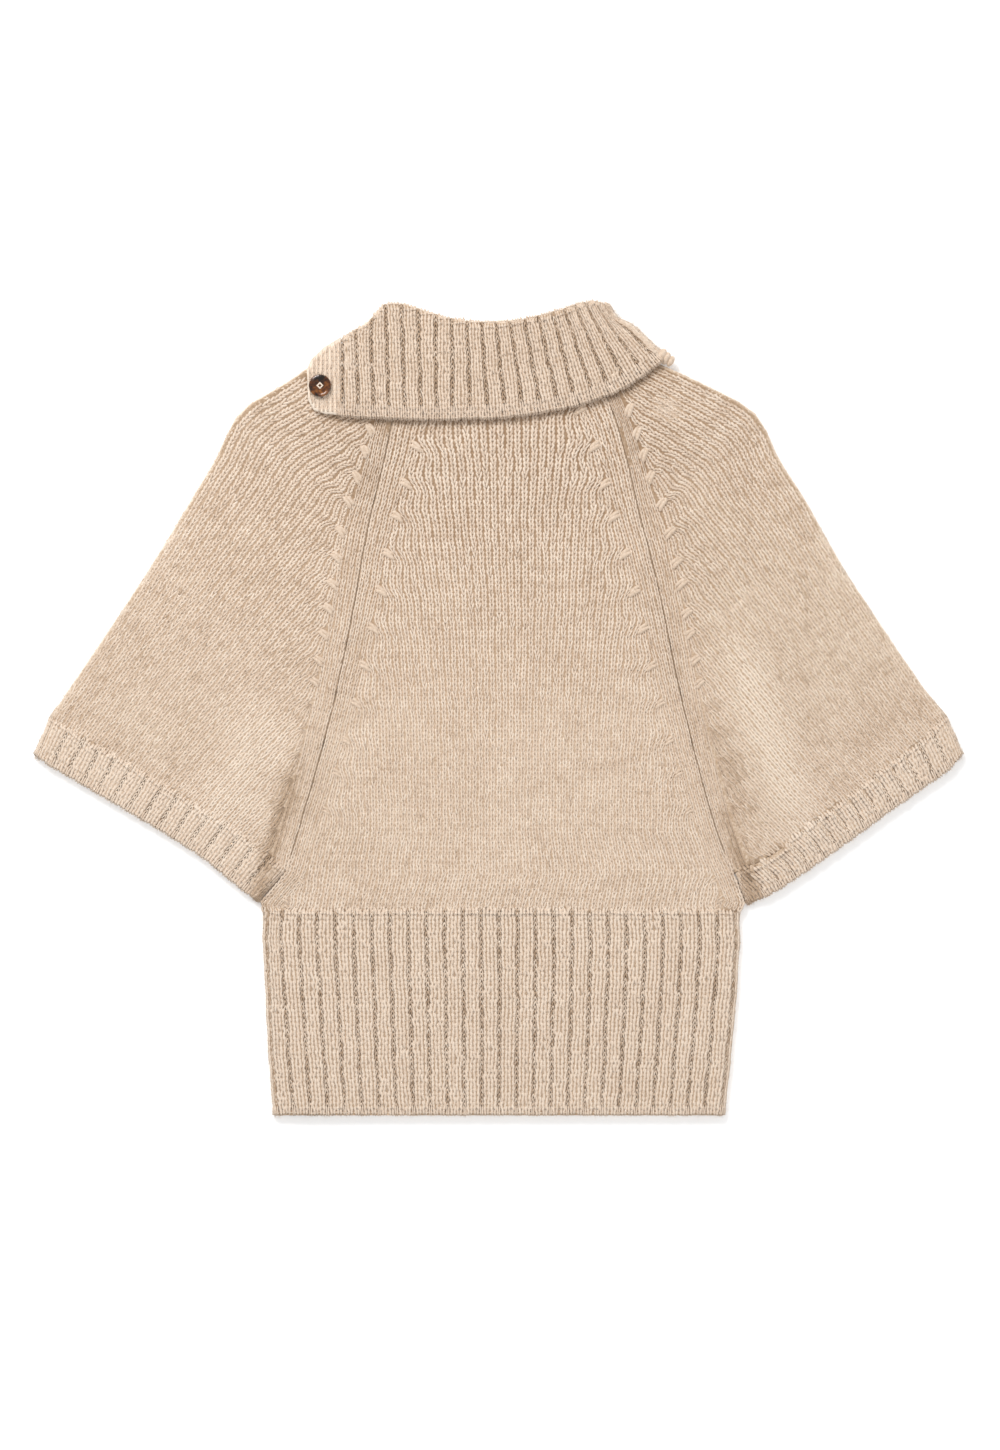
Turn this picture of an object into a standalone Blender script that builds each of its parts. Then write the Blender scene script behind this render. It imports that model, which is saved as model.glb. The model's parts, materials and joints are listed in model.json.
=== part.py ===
"""A cropped knit sweater laid flat on its back: raglan sleeves to the elbow, ribbed cuffs, a deep ribbed
waistband, and a ribbed turn-down collar that ends in a plain band with one button at the shoulder.

Metres. +X runs across the sweater to the right, +Y from the hem to the collar, +Z up from the surface
that the sweater lies on. The origin is under its middle, on that surface. Tables are in millimetres."""

import math
from collections import namedtuple

import bmesh
import bpy
from mathutils import Vector

MM = 0.001

# The cloth
WALL = 3.0 * MM  # plain knit
AIR = 1.5 * MM  # between the back layer and the front layer
SEAM_GAP = 0.3 * MM  # between two pieces that are sewn together
NECK_CLEARANCE = 0.18 * MM  # from the neckline to each side, a little more because it slants
RIB_CREST = 1.2 * MM  # a rib's top, above the plain knit
RIB_VALLEY = -0.6 * MM  # the groove between two ribs
CAST_EDGE = 0.5 * MM  # the plain row that closes a ribbed edge
CREST_START, CREST_END = 0.22, 0.78  # where a rib's top lies in its pitch
TURN_STEPS = 5  # faces round a fold

# The collar lies in four layers, so it lifts the neck off the surface
NECK_LIFT = WALL + SEAM_GAP
NECK_MIDDLE = NECK_LIFT + WALL + AIR / 2
STAND_REACH = WALL + AIR / 2  # from the middle out to the stand's outer face
TURN_INSIDE = STAND_REACH + SEAM_GAP  # from the middle out to the inside of the turned-down part
TURN_REACH = TURN_INSIDE + WALL
NECK_CENTRE = Vector((-1 * MM, 272 * MM))
NECK_ZONE = Vector((180 * MM, 71 * MM))  # half widths of the lifted oval
NECK_SLOPE_END = 1.55  # the oval's multiple where the panels lie down again

# Waistband, cuffs and collar
WAIST_RIBS = 26
CUFF_RIBS = 15
COLLAR_RIBS = 19
CUFF_DEPTH = 28.5 * MM
CUFF_TIP_LEAN = math.radians(24)
CUFF_EDGE_DEPTH = 4.5 * MM
BUTTON_RADIUS = 8.4 * MM
BUTTON_HEIGHT = 3.2 * MM
BUTTON_PLACE = Vector((-133.5 * MM, 241 * MM))

FRONT_COLUMNS = 12
SLEEVE_COLUMNS = 10
BACK_COLUMNS = 8
WAIST_BACK_COLUMNS = 14

SideRow = namedtuple("SideRow", "y left_x right_x")
TwoPoints = namedtuple("TwoPoints", "left_x left_y right_x right_y")
CollarRow = namedtuple("CollarRow", "rib neck_x neck_y fold_x fold_y edge_x edge_y")
BandRow = namedtuple("BandRow", "top_x top_y edge_x edge_y")
SoftFold = namedtuple("SoftFold", "start_x start_y end_x end_y half_width height")

# The raglan seams, from the cuffs' inner corners up to the neck
RAGLAN = [
    SideRow(-124, -159.5, 176),
    SideRow(-95, -151, 164.5),
    SideRow(-65, -142, 155.5),
    SideRow(-31.5, -132.5, 146.5),
    SideRow(6, -123, 137.5),
    SideRow(43.5, -115, 129.5),
    SideRow(81, -107.5, 122),
    SideRow(115, -102, 114),
    SideRow(148.5, -95, 105),
    SideRow(182, -86.5, 97.5),
    SideRow(216, -79.5, 88),
    SideRow(250, -74.5, 74),
]
BACK_NECK = SideRow(259, -73, 71)  # the back raglan seams end higher
UNDERARM = SideRow(-146.5, -178.5, 184.5)
WAIST_TOP = SideRow(-153, -176.5, 181)

# The folded upper edge of each sleeve, from the cuff over the shoulder to the neck
OVERARM = [
    TwoPoints(-337.5, -7, 337.5, -7),
    TwoPoints(-319, 21, 316, 21),
    TwoPoints(-288.5, 66, 285.5, 66),
    TwoPoints(-259, 111, 256, 111),
    TwoPoints(-232, 156, 231.5, 156),
    TwoPoints(-214, 186, 212, 186),
    TwoPoints(-205, 205.5, 203.5, 205.5),
    TwoPoints(-198, 218.5, 196, 219),
    TwoPoints(-186.5, 229.5, 182.5, 229.5),
    TwoPoints(-164.5, 241.5, 158.5, 241.5),
    TwoPoints(-142, 257, 137.5, 251.5),
    TwoPoints(-129, 265, 120, 259),
    TwoPoints(-117, 272.5, 103, 269),
]

# The open lower edge of each cuff, from the underarm to the outer corner
CUFF_EDGE = [
    TwoPoints(-178.5, -146.5, 184.5, -146.5),
    TwoPoints(-194, -134, 196, -143),
    TwoPoints(-216.5, -115.5, 216.5, -131.5),
    TwoPoints(-246.5, -95.5, 246.5, -110.5),
    TwoPoints(-276.5, -77.5, 276.5, -89.5),
    TwoPoints(-306.5, -60, 306.5, -67.5),
    TwoPoints(-336.5, -42.5, 336.5, -46.5),
    TwoPoints(-349, -33, 349, -33),
]

WAIST_SIDES = [
    WAIST_TOP,
    SideRow(-174, -177.5, 182),
    SideRow(-204, -176, 180.5),
    SideRow(-234, -174.5, 177.5),
    SideRow(-264, -173, 175),
    SideRow(-294, -170.5, 171.5),
    SideRow(-305.4, -170, 170.5),
]

# The collar's front, from the button's end to the fold over the other shoulder: the neckline that the
# stand grows from, the fold at the top, and the turned-down edge. Ribs are counted from the button's end.
COLLAR_FRONT = [
    CollarRow(0, -113.7, 270.7, -117.5, 277.5, -116.5, 219),
    CollarRow(3, -74.5, 250, -85, 304, -81.5, 217),
    CollarRow(7, -37.4, 238.5, -35, 292.5, -34, 216.5),
    CollarRow(11, 12.1, 235.5, 8.5, 290.5, 18.5, 219.5),
    CollarRow(15, 49.3, 242.5, 49, 300, 71.5, 231),
    CollarRow(17, 74, 250, 64, 304.5, 97, 241.5),
    CollarRow(19, 99.9, 266.9, 78.5, 302.5, 120.5, 258.5),
]
# The same for the back, which the front hides, from the fold over the shoulder to the open end
COLLAR_BACK = [
    CollarRow(0, 99.9, 266.9, 78.5, 302.5, 120.5, 258.5),
    CollarRow(1, 71, 259, 64, 302, 95, 240),
    CollarRow(2, 35, 255, 33, 293.5, 50, 228),
    CollarRow(4, -37, 255, -36, 290, -45, 226),
    CollarRow(5, -73, 259, -74, 298.5, -80, 232),
    CollarRow(6, -106, 268.6, -104, 284, -108, 244),
]
WRAP_RIBS = 2  # ribs that turn over the shoulder with the collar
NECK_OUTWARD = Vector((0.8365, 0.548))  # the fold's outward direction at the neckline
FOLD_OUTWARD = Vector((0.80, 0.60))
EDGE_OUTWARD = Vector((0.70, 0.714))
TURN_SHARES = (0.33, 0.66, 0.885, 0.935, 1.0)  # rows down the turned-down part
GROOVE_END = 0.9  # the share of that depth where the grooves stop

# The plain band at the collar's open end, from its free end to the first rib
BUTTON_BAND = [
    BandRow(-143.5, 253.5, -142.5, 230.5),
    BandRow(-140, 261, -138.5, 223),
    BandRow(-130.5, 270, -129.5, 220),
    BandRow(-117.8, 277.5, -116.8, 219),
]
BAND_ROWS = 4

# Soft folds of the front layer, above (+) or below (-) its even height
SOFT_FOLDS = [
    SoftFold(-146, -52, -174, -131, 9, 2.0),
    SoftFold(-137, -62, -158, -112, 8, -0.8),
    SoftFold(170, 56, 249, -116, 17, 1.9),
    SoftFold(157, -14, 184, -136, 11, -0.9),
    SoftFold(-150, -138, 158, -138, 11, 0.9),
    SoftFold(-200, 170, -245, 40, 26, 0.9),
]
FOLD_FADE = 0.22  # the share of a fold's length over which each end dies away
FOLD_LIMITS = (-1.0 * MM, 2.1 * MM)

WOOL = (0.70, 0.55, 0.42, 1.0)
TORTOISESHELL = (0.12, 0.05, 0.02, 1.0)
WOOL_ROUGHNESS = 0.9
BUTTON_ROUGHNESS = 0.25


def smoothstep(value):
    value = min(1.0, max(0.0, value))
    return value * value * (3 - 2 * value)


def smooth_line(points):
    """A function that gives the point at a share of the length of a smooth curve through points."""
    steps = 12
    dense = []
    for i in range(len(points) - 1):
        before, a = points[max(i - 1, 0)], points[i]
        b, after = points[i + 1], points[min(i + 2, len(points) - 1)]
        for k in range(steps):
            t = k / steps
            leave, arrive = (b - before) / 2, (after - a) / 2
            dense.append(
                a * (2 * t**3 - 3 * t**2 + 1)
                + leave * (t**3 - 2 * t**2 + t)
                + b * (3 * t**2 - 2 * t**3)
                + arrive * (t**3 - t**2)
            )
    dense.append(points[-1])
    return measured_line(dense)


def measured_line(points):
    """A function that gives the point at a share of the length of the straight spans through points."""
    marks = [0.0]
    for a, b in zip(points, points[1:]):
        marks.append(marks[-1] + (b - a).length)

    def at(share):
        goal = min(1.0, max(0.0, share)) * marks[-1]
        i = next((k for k in range(1, len(marks) - 1) if marks[k] >= goal), len(marks) - 1)
        part = (goal - marks[i - 1]) / (marks[i] - marks[i - 1])
        return points[i - 1].lerp(points[i], part)

    return at


def beside(points, distance):
    """The line parallel to the spans through points, distance to the right of its direction."""
    moved = []
    for i, point in enumerate(points):
        arriving = (point - points[max(i - 1, 0)]).normalized()
        leaving = (points[min(i + 1, len(points) - 1)] - point).normalized()
        along = (arriving + leaving).normalized()
        across = Vector((along.y, -along.x))
        straight = max(along.dot(leaving), along.dot(arriving))
        moved.append(point + across * distance / straight)
    return moved


def side_point(row, side):
    """The plan point of a SideRow on the left (-1) or right (+1)."""
    return Vector((row.left_x if side < 0 else row.right_x, row.y)) * MM


def pair_point(row, side):
    """The plan point of a TwoPoints row on the left (-1) or right (+1)."""
    left, right = (row.left_x, row.left_y), (row.right_x, row.right_y)
    return Vector(left if side < 0 else right) * MM


# Heights of the layers over the surface, at a plan point


def lift(place):
    """How far the collar's lowest layer raises the garment here."""
    offset = place - NECK_CENTRE
    distance = math.hypot(offset.x / NECK_ZONE.x, offset.y / NECK_ZONE.y)
    return NECK_LIFT * (1 - smoothstep((distance - 1) / (NECK_SLOPE_END - 1)))


def soft_folds(place):
    """The height that the front layer's folds add here."""
    height = 0.0
    for fold in SOFT_FOLDS:
        start = Vector((fold.start_x, fold.start_y)) * MM
        run = Vector((fold.end_x, fold.end_y)) * MM - start
        along = (place - start).dot(run) / run.length_squared
        across = abs((place - start).cross(run)) / run.length
        fade = smoothstep(along / FOLD_FADE) * smoothstep((1 - along) / FOLD_FADE)
        height += fold.height * MM * fade * math.exp(-((across / (fold.half_width * MM)) ** 2))
    return min(FOLD_LIMITS[1], max(FOLD_LIMITS[0], height))


def front_inside(place):
    return lift(place) + WALL + AIR + soft_folds(place)


def front_top(place):
    return front_inside(place) + WALL


def back_inside(place):
    return lift(place) + WALL


def in_space(place, height):
    return Vector((place.x, place.y, height))


# Solids


def material(name, colour, roughness):
    finish = bpy.data.materials.new(name)
    finish.use_nodes = True
    shader = finish.node_tree.nodes["Principled BSDF"]
    shader.inputs["Base Color"].default_value = colour
    shader.inputs["Roughness"].default_value = roughness
    shader.inputs["Metallic"].default_value = 0.0
    finish.diffuse_color = colour
    return finish


def add_object(name, mesh, collection, finish):
    obj = bpy.data.objects.new(name, mesh)
    collection.objects.link(obj)
    mesh.materials.append(finish)
    return obj


def cloth_wall(name, outer, inner, closed, collection, finish):
    """One piece of cloth: rows of points on its outer face and as many on its inner face, joined at the
    edges. A closed piece runs round in a ring."""
    form = bmesh.new()
    faces = [[[form.verts.new(p) for p in row] for row in side] for side in (outer, inner)]
    rows, columns = len(outer), len(outer[0])
    spans = columns if closed else columns - 1
    for side in faces:
        for r in range(rows - 1):
            for c in range(spans):
                n = (c + 1) % columns
                form.faces.new((side[r][c], side[r][n], side[r + 1][n], side[r + 1][c]))
    for r in (0, rows - 1):
        for c in range(spans):
            n = (c + 1) % columns
            form.faces.new((faces[0][r][c], faces[0][r][n], faces[1][r][n], faces[1][r][c]))
    if not closed:
        for c in (0, columns - 1):
            for r in range(rows - 1):
                form.faces.new((faces[0][r][c], faces[0][r + 1][c], faces[1][r + 1][c], faces[1][r][c]))
    bmesh.ops.recalc_face_normals(form, faces=form.faces)
    mesh = bpy.data.meshes.new(name)
    form.to_mesh(mesh)
    form.free()
    mesh.shade_smooth()
    mesh.set_sharp_from_angle(angle=math.radians(40))
    return add_object(name, mesh, collection, finish)


def rib_columns(ribs):
    """Shares across a ribbed front, with the height of the knit there: a groove, then a rib, and so on."""
    columns = []
    for k in range(ribs):
        columns += [(k, RIB_VALLEY), (k + CREST_START, RIB_CREST), (k + CREST_END, RIB_CREST)]
    columns.append((ribs, RIB_VALLEY))
    return [(place / ribs, height) for place, height in columns]


def fold_turn(hub, heading, inset):
    """The points of a fold between its upper and its lower layer, turning in the plane of heading and Z."""
    high, low = front_top(hub), lift(hub)
    radius = (high - low) / 2 - inset
    points = []
    for k in range(1, TURN_STEPS):
        angle = math.pi * k / TURN_STEPS
        points.append(
            in_space(hub + heading * radius * math.sin(angle), (high + low) / 2 + radius * math.cos(angle))
        )
    return points


def fold_reach(place):
    """From a fold's outermost point in to the line where it starts to turn."""
    return (front_top(place) - lift(place)) / 2


# Pieces


def panel(name, sides, top, collection, finish, is_front):
    """The front or the back: rows between its two seams, the last of which bend to the neckline."""
    half_gap = SEAM_GAP / 2
    edges = {}
    for side in (-1, 1):
        points = [side_point(row, side) for row in sides]
        edges[side] = beside(points, half_gap * -side)
        edges[side][0].y += half_gap
        edges[side][-1].y -= half_gap
    last = len(sides) - 1
    outer, inner = [], []
    for r in range(last + 1):
        bend = max(0.0, (r - last + 4) / 4) ** 2
        plan = []
        for c in range(FRONT_COLUMNS + 1):
            place = edges[-1][r].lerp(edges[1][r], c / FRONT_COLUMNS)
            place.y -= top(c / FRONT_COLUMNS) * bend
            plan.append(place)
        if is_front:
            outer.append([in_space(p, front_top(p)) for p in plan])
            inner.append([in_space(p, front_inside(p)) for p in plan])
        else:
            outer.append([in_space(p, lift(p)) for p in plan])
            inner.append([in_space(p, back_inside(p)) for p in plan])
    return cloth_wall(name, outer, inner, False, collection, finish)


def neck_dip(rows):
    """A function that gives how far the neckline lies under its two ends, at a share of its width. rows
    are those of the collar's table, from the left seam to the right seam."""
    first, last = rows[0], rows[-1]

    def dip(share):
        x = first.neck_x + (last.neck_x - first.neck_x) * share
        i = next((k for k in range(1, len(rows) - 1) if x <= rows[k].neck_x), len(rows) - 1)
        a, b = rows[i - 1], rows[i]
        part = (x - a.neck_x) / (b.neck_x - a.neck_x)
        return (first.neck_y - a.neck_y - (b.neck_y - a.neck_y) * part) * MM

    return dip


def cuff_lines(side):
    """The cuff's lower edge and its upper edge, both from the underarm to the outer corner."""
    edge_points = [pair_point(row, side) for row in CUFF_EDGE]
    tip_run = Vector((-side * math.sin(CUFF_TIP_LEAN), math.cos(CUFF_TIP_LEAN))) * CUFF_DEPTH
    inner_run = side_point(RAGLAN[0], side) - edge_points[0]
    edge = smooth_line(edge_points)
    top_points = []
    count = len(CUFF_EDGE) - 1
    for k in range(count + 1):
        run = inner_run.lerp(tip_run, k / count)
        top_points.append(edge(k / count) + run)
    return edge, smooth_line(top_points)


def ring_row(line, columns, back_columns, outer):
    """One row of a flattened ring: its front, a fold, its back, and the other fold."""
    start, end = line(0.0), line(1.0)
    inset = 0.0 if outer else WALL
    from_start = fold_reach(start) / (end - start).length
    from_end = fold_reach(end) / (end - start).length

    def place(share):
        return line(from_start + share * (1 - from_start - from_end))

    points = []
    for share, rise in columns:
        spot = place(share)
        is_fold = share in (0.0, 1.0)
        height = front_top(spot) + (0.0 if is_fold else rise) if outer else front_inside(spot)
        points.append(in_space(spot, height))
    points += fold_turn(place(1.0), (end - place(1.0)).normalized(), inset)
    for k in range(back_columns + 1):
        spot = place(1 - k / back_columns)
        points.append(in_space(spot, lift(spot) if outer else back_inside(spot)))
    points += reversed(fold_turn(place(0.0), (start - place(0.0)).normalized(), inset))
    return points


def ribbed_ring(name, rows, ribs, back_columns, collection, finish):
    """A ribbed tube laid flat. rows gives, for each row, its line and how much of the ribs' relief it has:
    1 for full ribs, and 0 for the plain row that closes an edge."""
    outer, inner = [], []
    for line, relief in rows:
        columns = [
            (share, rise if relief else CAST_EDGE) for share, rise in rib_columns(ribs)
        ]
        outer.append(ring_row(line, columns, back_columns, True))
        inner.append(ring_row(line, columns, back_columns, False))
    return cloth_wall(name, outer, inner, True, collection, finish)


def waistband(collection, finish):
    top, bottom = WAIST_SIDES[0].y * MM, WAIST_SIDES[-1].y * MM
    left = [side_point(row, -1) for row in WAIST_SIDES]
    right = [side_point(row, 1) for row in WAIST_SIDES]

    def row_at(y):
        i = next(k for k in range(1, len(left)) if left[k].y <= y + 1e-9)
        part = (left[i - 1].y - y) / (left[i - 1].y - left[i].y)
        start, end = left[i - 1].lerp(left[i], part), right[i - 1].lerp(right[i], part)
        return lambda share: start.lerp(end, share)

    rows = [(row_at(top - SEAM_GAP / 2), 0), (row_at(top - 3.5 * MM), 1)]
    rows += [(row_at(y), 1) for y in (-174 * MM, -216 * MM, -258 * MM)]
    rows.append((row_at(bottom + CUFF_EDGE_DEPTH + 2.5 * MM), 1))
    rows += [(row_at(bottom + CUFF_EDGE_DEPTH), 0), (row_at(bottom), 0)]
    return ribbed_ring("waistband", rows, WAIST_RIBS, WAIST_BACK_COLUMNS, collection, finish)


def cuff(name, side, collection, finish):
    edge, top = cuff_lines(side)
    gap_share = SEAM_GAP / (edge(1.0) - edge(0.0)).length

    def row_at(share_up):
        def line(share):
            along = gap_share + share * (1 - gap_share)
            return edge(along).lerp(top(along), share_up)

        return line

    plain = CUFF_EDGE_DEPTH / CUFF_DEPTH
    groove = plain + 2.0 * MM / CUFF_DEPTH
    near_top = 1 - 2.5 * MM / CUFF_DEPTH
    gap = 1 - SEAM_GAP / 2 / CUFF_DEPTH
    rows = [(row_at(0.0), 0), (row_at(plain), 0), (row_at(groove), 1)]
    rows += [(row_at(near_top), 1), (row_at(gap), 0)]
    return ribbed_ring(name, rows, CUFF_RIBS, BACK_COLUMNS, collection, finish)


def sleeve(name, side, collection, finish):
    """A sleeve from its front raglan seam over the folded upper edge to its back raglan seam."""
    half_gap = SEAM_GAP / 2
    front_seam = beside([side_point(row, side) for row in RAGLAN], half_gap * side)
    back_rows = RAGLAN[:-1] + [BACK_NECK]
    back_seam = beside([side_point(row, side) for row in back_rows], half_gap * side)
    overarm = smooth_line([pair_point(row, side) for row in OVERARM])
    cuff_top = cuff_lines(side)[1]
    lengths = [(b - a).length for a, b in zip(front_seam, front_seam[1:])]
    first_half_row = len(RAGLAN) - 7
    spots = []
    for i in range(len(RAGLAN)):
        spots.append(float(i))
        if first_half_row <= i < len(RAGLAN) - 1:
            spots.append(i + 0.5)
    outer, inner = [], []
    for spot in spots:
        i, part = min(int(spot), len(lengths) - 1), spot - min(int(spot), len(lengths) - 1)
        share_up = (sum(lengths[:i]) + lengths[i] * part) / sum(lengths)
        front = front_seam[i].lerp(front_seam[i + 1], part)
        back = back_seam[i].lerp(back_seam[i + 1], part)
        corner = overarm(share_up)
        if spot == spots[0]:
            corner = corner + Vector((-side * 0.4, 0.9)) * half_gap
            front = front + Vector((0.0, half_gap))
            back = back + Vector((0.0, half_gap))
        if spot == spots[-1]:
            corner, front, back = (p - Vector((0.0, NECK_CLEARANCE)) for p in (corner, front, back))
        stay = (1 - share_up) ** 2
        chord_start, chord_end = cuff_top(0.0), cuff_top(1.0)

        def line(share):
            bulge = cuff_top(share) - chord_start.lerp(chord_end, share)
            return front.lerp(corner, share) + bulge * stay

        turn = 1 - fold_reach(corner) / (corner - front).length
        hub = line(turn)
        heading = (corner - hub).normalized()
        plan = [line(turn * c / SLEEVE_COLUMNS) for c in range(SLEEVE_COLUMNS + 1)]
        under = []
        for k in range(BACK_COLUMNS + 1):
            share = 1 - k / BACK_COLUMNS
            under.append(line(turn * share) + (back - front) * (1 - share))
        outer.append(
            [in_space(p, front_top(p)) for p in plan]
            + fold_turn(hub, heading, 0.0)
            + [in_space(p, lift(p)) for p in under]
        )
        inner.append(
            [in_space(p, front_inside(p)) for p in plan]
            + fold_turn(hub, heading, WALL)
            + [in_space(p, back_inside(p)) for p in under]
        )
    return cloth_wall(name, outer, inner, False, collection, finish)


def neck_point(rows, rib):
    """The plan point of the neckline at a rib number, on the straight span between two rows."""
    i = next(k for k in range(1, len(rows)) if rib <= rows[k].rib)
    a, b = rows[i - 1], rows[i]
    part = (rib - a.rib) / (b.rib - a.rib)
    return Vector((a.neck_x, a.neck_y)).lerp(Vector((b.neck_x, b.neck_y)), part) * MM


def rounded_point(rows, rib, x_name, y_name):
    """The plan point of the collar's fold or edge at a rib number, on a smooth curve through the rows."""
    i = next(k for k in range(1, len(rows)) if rib <= rows[k].rib)
    spots = [Vector((getattr(row, x_name), getattr(row, y_name))) for row in rows]

    def slope(k):
        before, after = max(k - 1, 0), min(k + 1, len(rows) - 1)
        return (spots[after] - spots[before]) / (rows[after].rib - rows[before].rib)

    span = rows[i].rib - rows[i - 1].rib
    t = (rib - rows[i - 1].rib) / span
    curve = (
        spots[i - 1] * (2 * t**3 - 3 * t**2 + 1)
        + slope(i - 1) * span * (t**3 - 2 * t**2 + t)
        + spots[i] * (3 * t**2 - 2 * t**3)
        + slope(i) * span * (t**3 - t**2)
    )
    return curve * MM


def collar(collection, finish):
    """The ribbed band: up from the neckline as the stand, over the fold, and down again outside it."""
    tip_radius = (TURN_REACH - AIR / 2) / 2
    tip_inside = tip_radius - WALL
    tip_middle = AIR / 2 + tip_radius
    ribs = []  # a column's table and rib number there, its angle round the shoulder, and the rib's height
    for share, rise in rib_columns(COLLAR_RIBS):
        ribs.append((COLLAR_FRONT, share * COLLAR_RIBS, 0.0, rise))
    for share, rise in rib_columns(WRAP_RIBS)[1:]:
        ribs.append((COLLAR_BACK, 0, math.pi * share, rise * (1 - share)))
    for row in COLLAR_BACK[1:]:
        ribs.append((COLLAR_BACK, row.rib, math.pi, 0.0))
    columns = []
    for table, rib, angle, rise in ribs:
        neck = neck_point(table, rib) + Vector((0.0, NECK_CLEARANCE))
        fold = rounded_point(table, rib, "fold_x", "fold_y")
        edge = rounded_point(table, rib, "edge_x", "edge_y")
        upward = (fold - neck).normalized()
        columns.append((neck, fold - upward * tip_radius, edge, upward, angle, rise))

    def point(plan, outward, angle, reach):
        side_step = outward.normalized() * reach * math.sin(angle)
        return in_space(plan + side_step, NECK_MIDDLE + reach * math.cos(angle))

    def face(reaches_fold):
        """The rows of one face of the band. reaches_fold is that face's radius over the fold."""
        is_outer = reaches_fold == tip_radius
        stand_reach = tip_middle - reaches_fold
        rows = [[point(neck, NECK_OUTWARD, angle, stand_reach) for neck, _, _, _, angle, _ in columns]]
        for k in range(TURN_STEPS + 1):
            climb = math.pi * k / TURN_STEPS
            relief = smoothstep((k / TURN_STEPS - 0.3) / 0.5) if is_outer else 0.0
            reach = tip_middle - reaches_fold * math.cos(climb)
            climb_reach = reaches_fold * math.sin(climb)
            rows.append(
                [
                    point(hub + up * climb_reach, FOLD_OUTWARD, angle, reach + relief * rise)
                    for _, hub, _, up, angle, rise in columns
                ]
            )
        for share in TURN_SHARES:
            outward = FOLD_OUTWARD.lerp(EDGE_OUTWARD, share)
            row = []
            for _, hub, edge, _, angle, rise in columns:
                raised = rise if share < GROOVE_END else CAST_EDGE * (1 - angle / math.pi)
                reach = tip_middle + reaches_fold + (raised if is_outer else 0.0)
                row.append(point(hub.lerp(edge, share), outward, angle, reach))
            rows.append(row)
        return rows

    return cloth_wall("collar", face(tip_radius), face(tip_inside), False, collection, finish)


def button_band(collection, finish):
    """The collar's plain end: a flat tab over the shoulder, clear of the first rib by the seam gap."""
    low = NECK_MIDDLE + TURN_INSIDE
    columns = []
    for row in BUTTON_BAND:
        top, edge = Vector((row.top_x, row.top_y)) * MM, Vector((row.edge_x, row.edge_y)) * MM
        columns.append([top.lerp(edge, k / BAND_ROWS) for k in range(BAND_ROWS + 1)])
    outer = [[in_space(column[k], low + WALL) for column in columns] for k in range(BAND_ROWS + 1)]
    inner = [[in_space(column[k], low) for column in columns] for k in range(BAND_ROWS + 1)]
    return cloth_wall("button_band", outer, inner, False, collection, finish)


def button(collection, cutters, finish):
    """A turned button with a raised rim, a dished middle and four holes for the thread."""
    base = NECK_MIDDLE + TURN_REACH + SEAM_GAP
    profile = [
        (0.0, 0.0),
        (0.80, 0.0),
        (0.97, 0.22),
        (1.0, 0.55),
        (0.94, 0.90),
        (0.84, 1.0),
        (0.74, 0.92),
        (0.62, 0.66),
        (0.0, 0.60),
    ]
    form = bmesh.new()
    ring = [form.verts.new((r * BUTTON_RADIUS, 0.0, h * BUTTON_HEIGHT)) for r, h in profile]
    for a, b in zip(ring, ring[1:]):
        form.edges.new((a, b))
    bmesh.ops.spin(
        form,
        geom=form.verts[:] + form.edges[:],
        cent=(0, 0, 0),
        axis=(0, 0, 1),
        angle=math.tau,
        steps=28,
        use_merge=True,
    )
    bmesh.ops.remove_doubles(form, verts=form.verts, dist=0.00001)
    bmesh.ops.recalc_face_normals(form, faces=form.faces)
    mesh = bpy.data.meshes.new("button")
    form.to_mesh(mesh)
    form.free()
    disc = add_object("button", mesh, collection, finish)
    disc.location = in_space(BUTTON_PLACE, base)
    hole_ring, hole_radius, holes = 2.0 * MM, 0.85 * MM, 4
    for k in range(holes):
        turn = math.tau * (k + 0.5) / holes
        hole_place = BUTTON_PLACE + Vector((math.cos(turn), math.sin(turn))) * hole_ring
        bpy.ops.mesh.primitive_cylinder_add(
            vertices=8, radius=hole_radius, depth=4 * BUTTON_HEIGHT, location=in_space(hole_place, base)
        )
        cutter = bpy.context.object
        cutter.name = f"button_hole_{k}"
        for holder in list(cutter.users_collection):
            holder.objects.unlink(cutter)
        cutters.objects.link(cutter)
        cutter.hide_render = True
        cutter.display_type = "WIRE"
        cut = disc.modifiers.new(f"hole_{k}", "BOOLEAN")
        cut.operation = "DIFFERENCE"
        cut.object = cutter
    return disc


def main():
    for obj in list(bpy.data.objects):
        bpy.data.objects.remove(obj)
    collection = bpy.data.collections.new("cropped_knit_sweater")
    cutters = bpy.data.collections.new("cutters")
    for holder in (collection, cutters):
        bpy.context.scene.collection.children.link(holder)

    def wool(name):
        return material(name + "_wool", WOOL, WOOL_ROUGHNESS)

    front_sides = [WAIST_TOP, UNDERARM] + RAGLAN
    back_sides = front_sides[:-1] + [BACK_NECK]
    front_dip = neck_dip([row for row in COLLAR_FRONT if 3 <= row.rib <= 17])
    back_dip = neck_dip([row for row in reversed(COLLAR_BACK) if 1 <= row.rib <= 5])
    panel("front_panel", front_sides, front_dip, collection, wool("front_panel"), True)
    panel("back_panel", back_sides, back_dip, collection, wool("back_panel"), False)
    for side, word in ((-1, "left"), (1, "right")):
        sleeve("sleeve_" + word, side, collection, wool("sleeve_" + word))
        cuff("cuff_" + word, side, collection, wool("cuff_" + word))
    waistband(collection, wool("waistband"))
    collar(collection, wool("collar"))
    button_band(collection, wool("button_band"))
    button(collection, cutters, material("button_horn", TORTOISESHELL, BUTTON_ROUGHNESS))


main()
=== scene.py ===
# %% [markdown]
# # A cropped knit sweater, laid flat
# The solids of the sweater give its sizes. This lesson dresses them in wool: a thin base cloth on each
# solid, and on it the knitting itself, one small mesh for every loop that shows from above.
# Everything is in metres, with X across, Y from the hem to the collar and Z up from the surface.

import json
import math
from collections import namedtuple

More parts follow.
